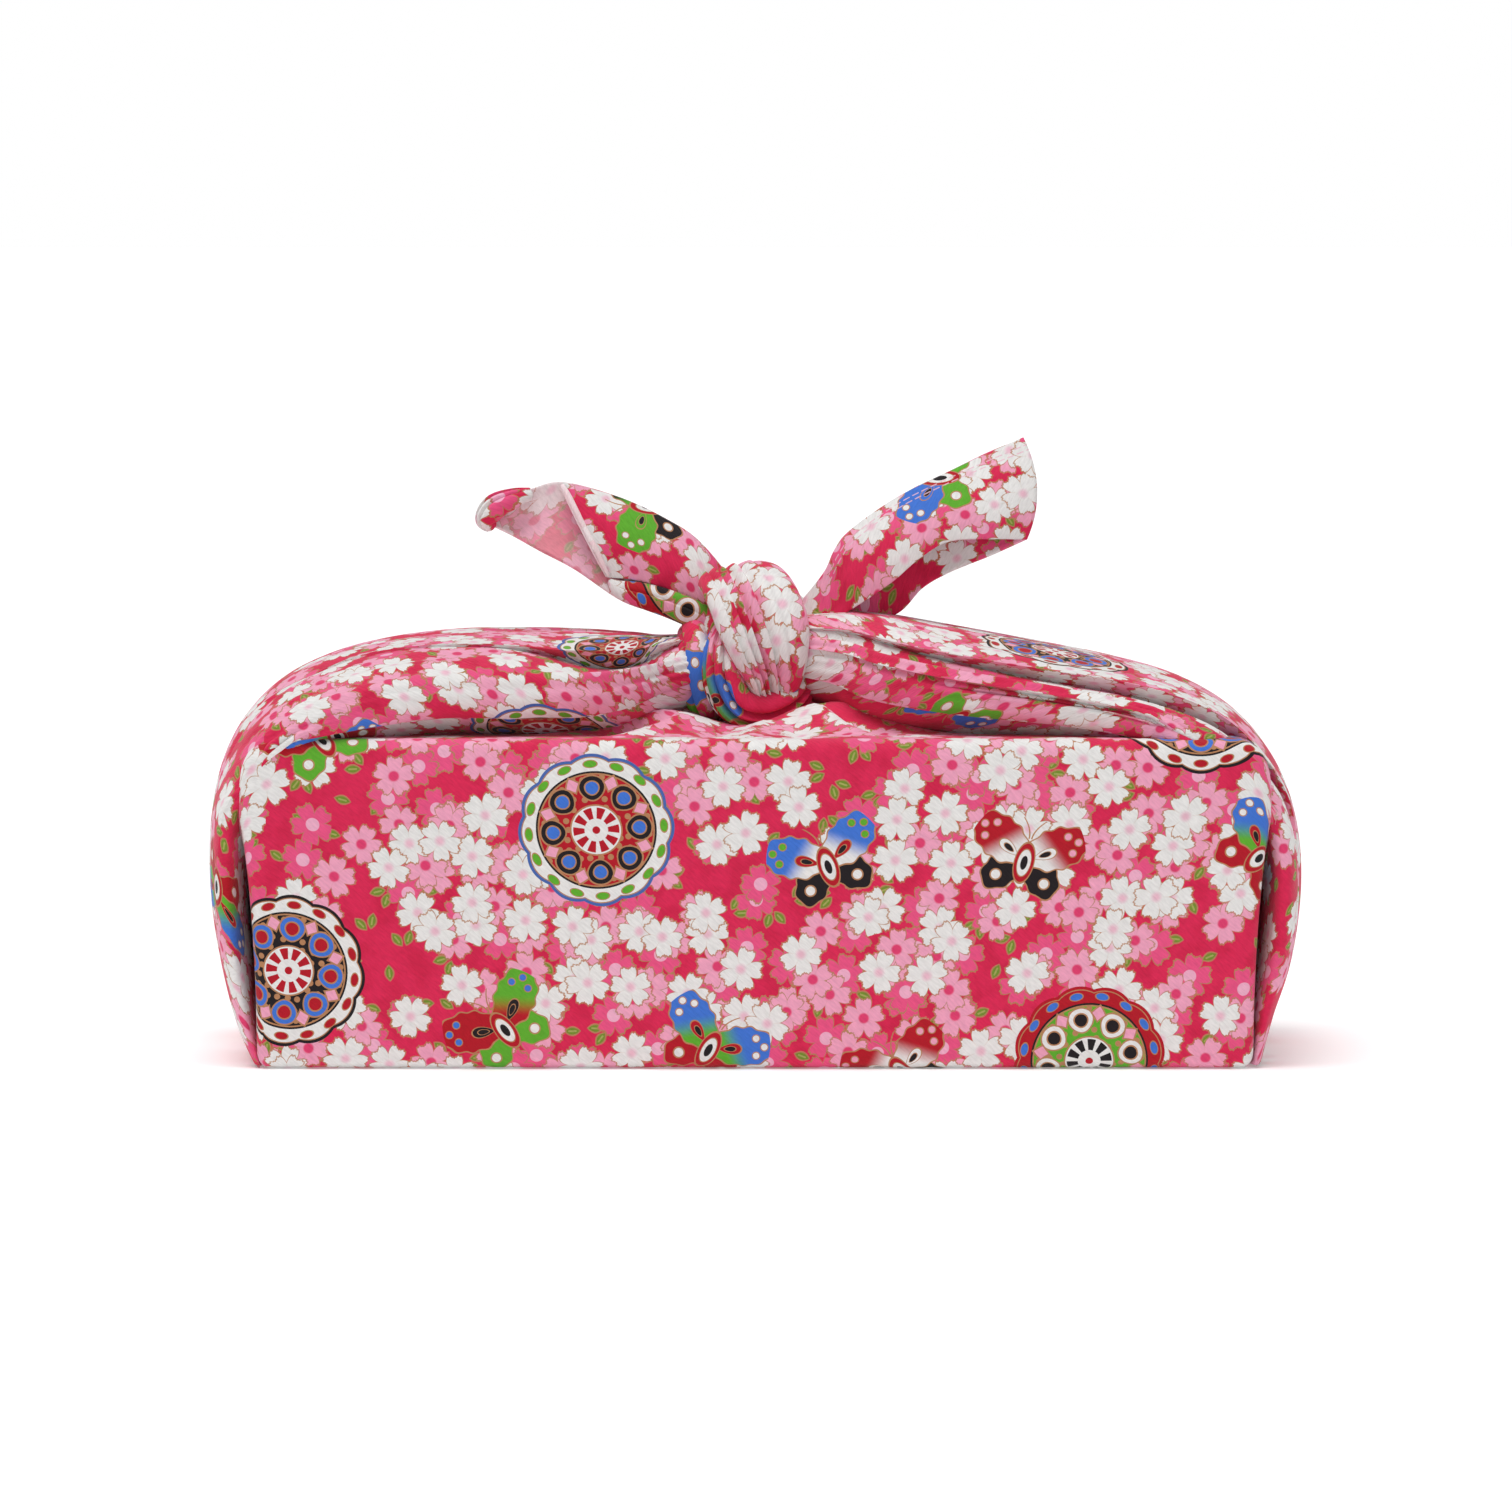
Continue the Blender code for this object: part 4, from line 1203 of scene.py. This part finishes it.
# For each colourway 0 to 2: rim line, rim band, buds of the band, field, petals, their cores, wheel
RIM_LINES = (dyed(72, 104, 176), BLACK, RED)
RIM_BANDS = (WHITE, WHITE, RED)
RIM_DOT_COLOURS = (BRIGHT_GREEN, RED, BLUE)
ROUNDEL_FIELDS = (RED, BLACK, BRIGHT_GREEN)
PETAL_COLOURS = (BLACK, BLUE, WHITE)
PETAL_CORES = (BLUE, RED, BLACK)
WHEEL_COLOURS = (RED, RED, BLACK)
# Rings of each part from the outside in. Columns: colour, level of the part's formula
RIM_RINGS = ((RIM_LINES, ROUNDEL_RADIUS), (GOLD, ROUNDEL_RADIUS - 0.7), (RIM_BANDS, ROUNDEL_RADIUS - 0.95))
RIM_DOT_RINGS = ((GOLD, 0.62), (RIM_DOT_COLOURS, 0.42))
PETAL_RINGS = ((GOLD, 1.1), (PETAL_COLOURS, 0.86), (GOLD, 0.36), (PETAL_CORES, 0.24))
SMALL_PETAL_RINGS = ((GOLD, 0.66), (PINK, 0.5))
HUB_RINGS = ((GOLD, 0.335), (WHITE, 0.315))
EYE_RINGS = ((WHITE, 0.15), (RED, 0.05))
WHEEL_WIDTH, WHEEL_EDGE = 0.62, 0.295
SEED_JITTER, SEED_SIZE = 0.3, 0.3


def roundels(cloth, under, place):
    """A scalloped roundel: rings by the distance from its middle, and petals by the angle round it."""
    way, kind = nearest_ornament(cloth, place, ROUNDELS, ROUNDEL_REACH)
    x, y, _ = cloth.split(way)
    turn = cloth.maths("ARCTAN2", y, x) / TURN + 1
    away = cloth.length(way)

    def sector(count, half=0.0):
        return cloth.maths("PINGPONG", turn * count + half, 0.5) * 2

    rim = away + squared(sector(RIM_SCALLOPS)) * 0.9
    share = away / ROUNDEL_RADIUS
    dots = squared(sector(RIM_DOTS)) * 1.9 + squared(share - 0.865) * 210
    petals = squared(sector(FLOWER_PETALS)) * 1.7 + squared(share - 0.55) * 36
    small_petals = sector(FLOWER_PETALS, 0.5) * 1.5 + abs(share - 0.64) * 5.2
    wheel = (sector(WHEEL_PETALS) < WHEEL_WIDTH) * (share < WHEEL_EDGE)
    seeds = cloth.cells(way, 1 / SEED_PITCH, SEED_JITTER, "Distance")
    field = cloth.painted(by_colourway(cloth, kind, ROUNDEL_FIELDS), GOLD, seeds < SEED_SIZE)
    colour = ringed(cloth, under, kind, rim, RIM_RINGS)
    colour = ringed(cloth, colour, kind, dots, RIM_DOT_RINGS)
    colour = ringed(cloth, colour, kind, share, ((BLACK, 0.77), (GOLD, 0.745), (field, 0.725)))
    colour = ringed(cloth, colour, kind, petals, PETAL_RINGS)
    colour = ringed(cloth, colour, kind, small_petals, SMALL_PETAL_RINGS)
    colour = ringed(cloth, colour, kind, share, HUB_RINGS)
    colour = cloth.painted(colour, by_colourway(cloth, kind, WHEEL_COLOURS), wheel)
    return ringed(cloth, colour, kind, share, EYE_RINGS)


# %% Stitches of the hems
# Columns: across the print from and to, up the print
STITCH_LINES = (
    (612.0, 672.0, 602.0),
    (612.0, 672.0, 603.3),
)
STITCH_LONG, STITCH_GAP, STITCH_WIDE = 2.4, 0.3, 0.32
STITCH_STRENGTH = 0.8


def stitches(cloth, under, place):
    """Dashes along short lines of the print: where the line is near, except in every dash's gap."""
    across, up, _ = cloth.split(place)
    dash = cloth.maths("FRACT", across / STITCH_LONG) > STITCH_GAP
    colour = under
    for start, end, line in STITCH_LINES:
        where = (abs(up - line) < STITCH_WIDE / 2) * (across > start) * (across < end) * dash
        colour = cloth.painted(colour, WHITE_HEART, where * STITCH_STRENGTH)
    return colour


print("ornaments:", len(BUTTERFLIES), "butterflies,", len(ROUNDELS), "roundels")

# %% [markdown]
# ## The cotton itself
#
# The cotton is matt crepe: fine wrinkles run slantwise over it as a bump and catch the light, and the
# colour carries painted light and shade of those wrinkles, a painted highlight on their backs and
# painted shade in their hollows. The reverse side shows the same print faded into pale pink.

# %% Cotton
COTTON_ROUGHNESS = 0.82
MOTTLE_SCALE = 0.16
SHEEN = 0.12
SPECULAR = 0.25
CREPE_ANGLE = 41.0
CREPE_LONG, CREPE_SHORT = 2.4, 0.5
CREPE_HEIGHT = 0.00016
# How strongly the crepe wrinkles paint light and shade into the colour
CREPE_PAINTED_SHADE = 0.16
FADED = dyed(250, 210, 218)
HEM_PALE = dyed(252, 238, 240)


def cotton(name, fade, pale=FADED):
    """The print on crepe cotton. fade is how far the colours go towards the pale reverse side."""
    material = bpy.data.materials.new(name)
    cloth = Loom(material)
    place = cloth.scaled(cloth.node("ShaderNodeUVMap", {"uv_map": PRINT_MAP}), 1 / MM)
    mottle = cloth.noise(place, Scale=MOTTLE_SCALE, Detail=3.0)
    colour = cloth.painted(DEEP_CRIMSON, CRIMSON, cloth.eased(mottle, 0.3, 0.6))
    colour = leaf_layer(cloth, colour, place)
    for layer in BLOSSOM_LAYERS:
        colour = blossom_layer(cloth, colour, place, *layer)
    for layer in (butterflies, roundels, stitches):
        colour = layer(cloth, colour, place)
    along = cloth.turned(place, np.radians(CREPE_ANGLE))
    stretched = cloth.vector("MULTIPLY", along, (1 / CREPE_LONG, 1 / CREPE_SHORT, 0.0))
    crepe = cloth.noise(stretched, Scale=1.0, Detail=3.0, Roughness=0.55)
    if fade:
        colour = cloth.painted(colour, pale, fade)
    # Painted light and shade of the crepe: the colour is lighter on the wrinkles' backs and darker in their
    # hollows
    shade = (crepe - 0.5) * (2 * CREPE_PAINTED_SHADE) + (1 - CREPE_PAINTED_SHADE / 2)
    bump = cloth.node("ShaderNodeBump", {}, {"Strength": 1.0, "Distance": CREPE_HEIGHT, "Height": crepe})
    cloth.set_up("Principled BSDF", {
        "Base Color": cloth.scaled(colour, shade), "Roughness": COTTON_ROUGHNESS, "Sheen Weight": SHEEN,
        "Specular IOR Level": SPECULAR, "Normal": bump})
    return material


printed_cotton = cotton("printed_cotton", 0.0)
reverse_side = cotton("reverse_of_cotton", 0.4)
hem_side = cotton("hem_of_cotton", 0.85, HEM_PALE)
print("nodes of the print:", len(printed_cotton.node_tree.nodes))

# %% Dress the pieces
# Columns: piece, the flat size in mm that it is cut from, how it is held
SHEETS = (
    (cover, (262.0, 382.0), "folded"),
    (left_arm, (190.0, 205.0), "gathered"),
    (right_arm, (190.0, 205.0), "gathered"),
    (knot[0], (30.0, 42.0), "gathered"),
    (knot[1], (42.0, 40.0), "gathered"),
    (knot[2], (40.0, 20.0), "gathered"),
    (knot[3], (34.0, 20.0), "gathered"),
    (knot[4], (36.0, 30.0), "gathered"),
    (tails[0], (46.0, 18.0), "draped"),
    (tails[1], (64.0, 20.0), "draped"),
    (tails[2], (62.0, 22.0), "draped"),
    (tails[3], (60.0, 26.0), "draped"),
    (curl, (12.0, 12.0), "gathered"),
    (roll, (26.0, 10.0), "gathered"),
)
for piece in [hem] + [sheet for sheet, _, _ in SHEETS]:
    piece.data.materials.append(hem_side if piece is hem else printed_cotton)
    piece.data.materials.append(printed_cotton if piece is tails[3] else reverse_side)
    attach(piece, "root")
    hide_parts(CLOTH_NODE)
for piece, flat, held in SHEETS:
    flat[0] * MM
    flat[1] * MM
print("sheets of cloth:", len(SHEETS))

# %% [markdown]
# ## Floor and light
#
# A catalogue photo is taken in a white room: bright all round, a little dimmer overhead, with one large
# soft light high in front that shapes the folds. The world gives the room, and a sun with a wide disc
# gives the soft light, so that the white floor is lit alike everywhere.

# %% White room
FLOOR_SIZE = 60.0
FLOOR_DROP = 0.0002
FLOOR_COLOUR = (0.92, 0.92, 0.92, 1.0)
FLOOR_ROUGHNESS = 0.9
FLOOR_GLOW = 0.22
ROOM_STOPS = ((0.0, 1.0), (0.06, 1.0), (0.25, 0.34), (1.0, 0.28))
SUN_STRENGTH = 2.3
SUN_DISC = np.radians(45.0)
SUN_FROM = Vector((-0.12, -0.16, 1.0))

mesh = bpy.data.meshes.new("floor")
half = FLOOR_SIZE / 2
corners = [(x, y, -FLOOR_DROP) for x, y in ((-half, -half), (half, -half), (half, half), (-half, half))]
mesh.from_pydata(corners, [], [(0, 1, 2, 3)])
floor = added("floor", mesh)
floor_paint = bpy.data.materials.new("white_floor")
Loom(floor_paint).set_up("Principled BSDF", {
    "Base Color": FLOOR_COLOUR, "Roughness": FLOOR_ROUGHNESS,
    "Emission Color": FLOOR_COLOUR, "Emission Strength": FLOOR_GLOW})
floor.data.materials.append(floor_paint)

light = bpy.data.lights.new("high_soft_light", "SUN")
light.energy = SUN_STRENGTH
light.angle = SUN_DISC
lamp = added("high_soft_light", light)
lamp.rotation_euler = (-SUN_FROM).to_track_quat("-Z", "Y").to_euler()

world = bpy.data.worlds.new("white_room")
bpy.context.scene.world = world
room = Loom(world)
direction = room.node("ShaderNodeTexCoord", out="Generated")
height = room.split(direction)[2]
room.set_up("Background", {"Color": (1.0, 1.0, 1.0, 1.0), "Strength": room.graded(height, ROOM_STOPS)})
bpy.context.scene.view_settings.view_transform = "Standard"
print("light from:", [round(part, 2) for part in SUN_FROM.normalized()])
